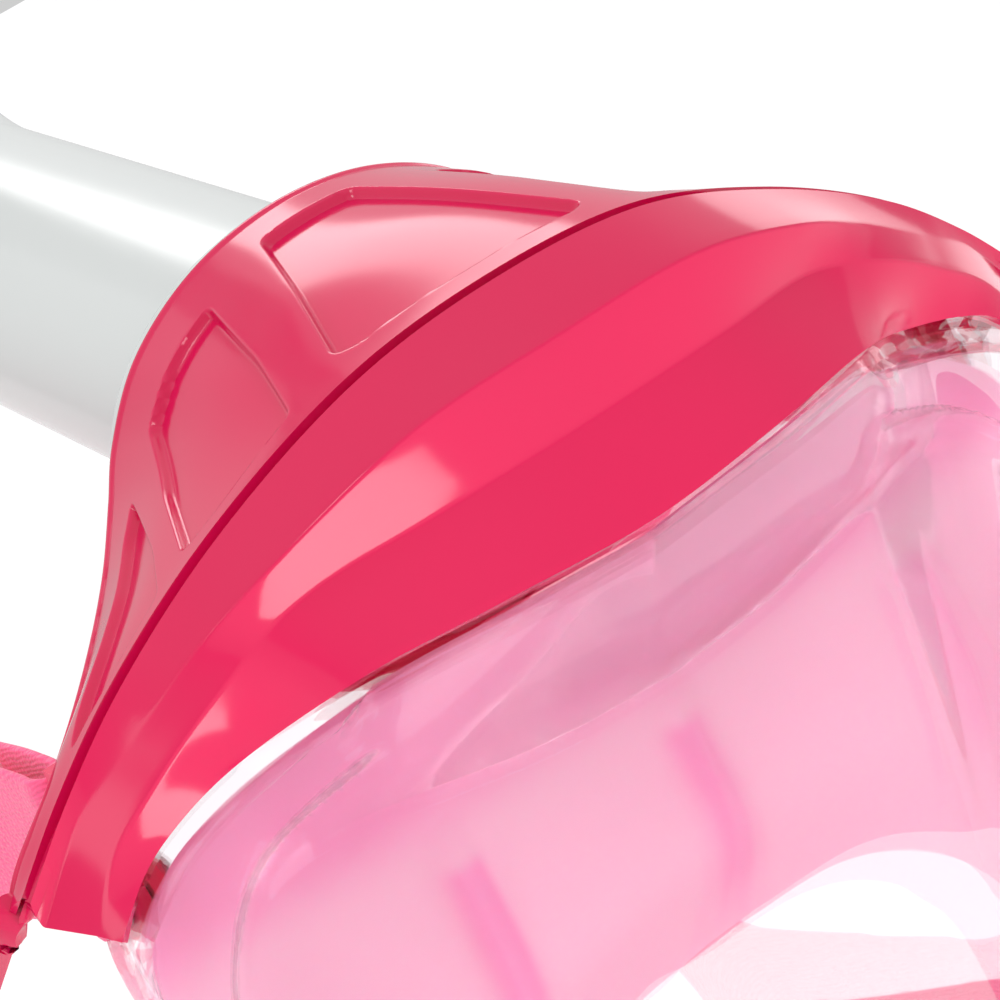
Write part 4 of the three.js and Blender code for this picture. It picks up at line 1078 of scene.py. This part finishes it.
# ---------------- finish of the CAD nodes that stay
NODE_FINISH = {
    "strap_lug": PINK, "lower_hook": PINK, "tube_divider": WHITE, "float_guide": WHITE,
    "upper_buckle": CLIP, "lower_clip": CLIP, "tube_seal": SEAL,
}
for node_name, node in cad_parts.items():
    if node.hide_render:
        continue
    finish = next(look for part, look in NODE_FINISH.items() if part in node_name)
    node.data.materials.clear()
    node.data.materials.append(finish)
    soften(node, 0.35, angle=35)

# ---------------- camera, floor and light, in metres
CAMERA_PLACE = (-0.3371, -0.7001, 0.2481)
CAMERA_RIGHT = (0.758, -0.4444, -0.4776)
CAMERA_UP = (0.4869, -0.1018, 0.8675)
CAMERA_BACK = (-0.4341, -0.89, 0.1392)
camera_data = bpy.data.cameras.new("camera")
camera_data.lens = 199.8
camera_data.sensor_width = 36
camera = bpy.data.objects.new("camera", camera_data)
bpy.context.collection.objects.link(camera)
camera_turn = Matrix((CAMERA_RIGHT, CAMERA_UP, CAMERA_BACK)).transposed()
camera.matrix_world = Matrix.Translation(CAMERA_PLACE) @ camera_turn.to_4x4()
bpy.context.scene.camera = camera
bpy.context.scene.view_settings.view_transform = "Standard"

FLOOR_Z = -0.097
FLOOR_SIZE = 30
bpy.ops.mesh.primitive_plane_add(size=FLOOR_SIZE, location=(0, 0, FLOOR_Z))
floor = bpy.context.object
floor.name = "floor"
floor_look, _, _, _ = new_material("floor", (250, 250, 250), Roughness=0.9)
floor.data.materials.append(floor_look)

# The white studio round the object grows brighter from the horizon up.
STUDIO_LOW = 0.62
STUDIO_HIGH = 1.15
STUDIO_HIGH_AT = 0.6    # height of the looking direction where it is brightest
world = bpy.data.worlds.new("studio")
world.use_nodes = True
sky_nodes = world.node_tree.nodes
sky_links = world.node_tree.links
background = sky_nodes["Background"]
where = new_node(sky_nodes, "TexCoord")
split = new_node(sky_nodes, "SeparateXYZ")
height = new_node(sky_nodes, "MapRange", From_Min=0.0, From_Max=STUDIO_HIGH_AT, To_Min=STUDIO_LOW,
                  To_Max=STUDIO_HIGH)
sky_links.new(where.outputs["Generated"], split.inputs["Vector"])
sky_links.new(split.outputs["Z"], height.inputs["Value"])
sky_links.new(height.outputs["Result"], background.inputs["Strength"])
background.inputs["Color"].default_value = (1, 1, 1, 1)
bpy.context.scene.world = world

# Softboxes: place, the point each one faces, width, height and power. None shows itself, either straight
# to the camera or through the clear pieces.
SOFTBOXES = {
    "key": ((-0.5, -0.75, 0.95), (0, -0.02, 0.15), 0.35, 0.35, 2.0),
    "under_front": ((-0.02, -0.2, -0.075), (-0.02, -0.15, 0.15), 0.16, 0.18, 0.5),
    "crown_box": ((0.33, 0.45, 0.74), (0, -0.01, 0.17), 0.3, 0.22, 0.8),
    "left_strip": ((-0.6, -0.32, 0.21), (-0.07, -0.02, 0.13), 0.15, 0.3, 0.3),
    "right_strip": ((0.65, 0.27, 0.26), (0.06, -0.03, 0.15), 0.3, 0.4, 0.7),
}
for light_name, (place, target, wide, tall, power) in SOFTBOXES.items():
    light_data = bpy.data.lights.new(light_name, "AREA")
    light_data.shape = "RECTANGLE"
    light_data.size = wide
    light_data.size_y = tall
    light_data.energy = power
    light = bpy.data.objects.new(light_name, light_data)
    bpy.context.collection.objects.link(light)
    light.location = place
    light.rotation_mode = "QUATERNION"
    light.rotation_quaternion = (Vector(target) - Vector(place)).to_track_quat("-Z", "Y")
    light.visible_camera = False
    light.visible_transmission = False
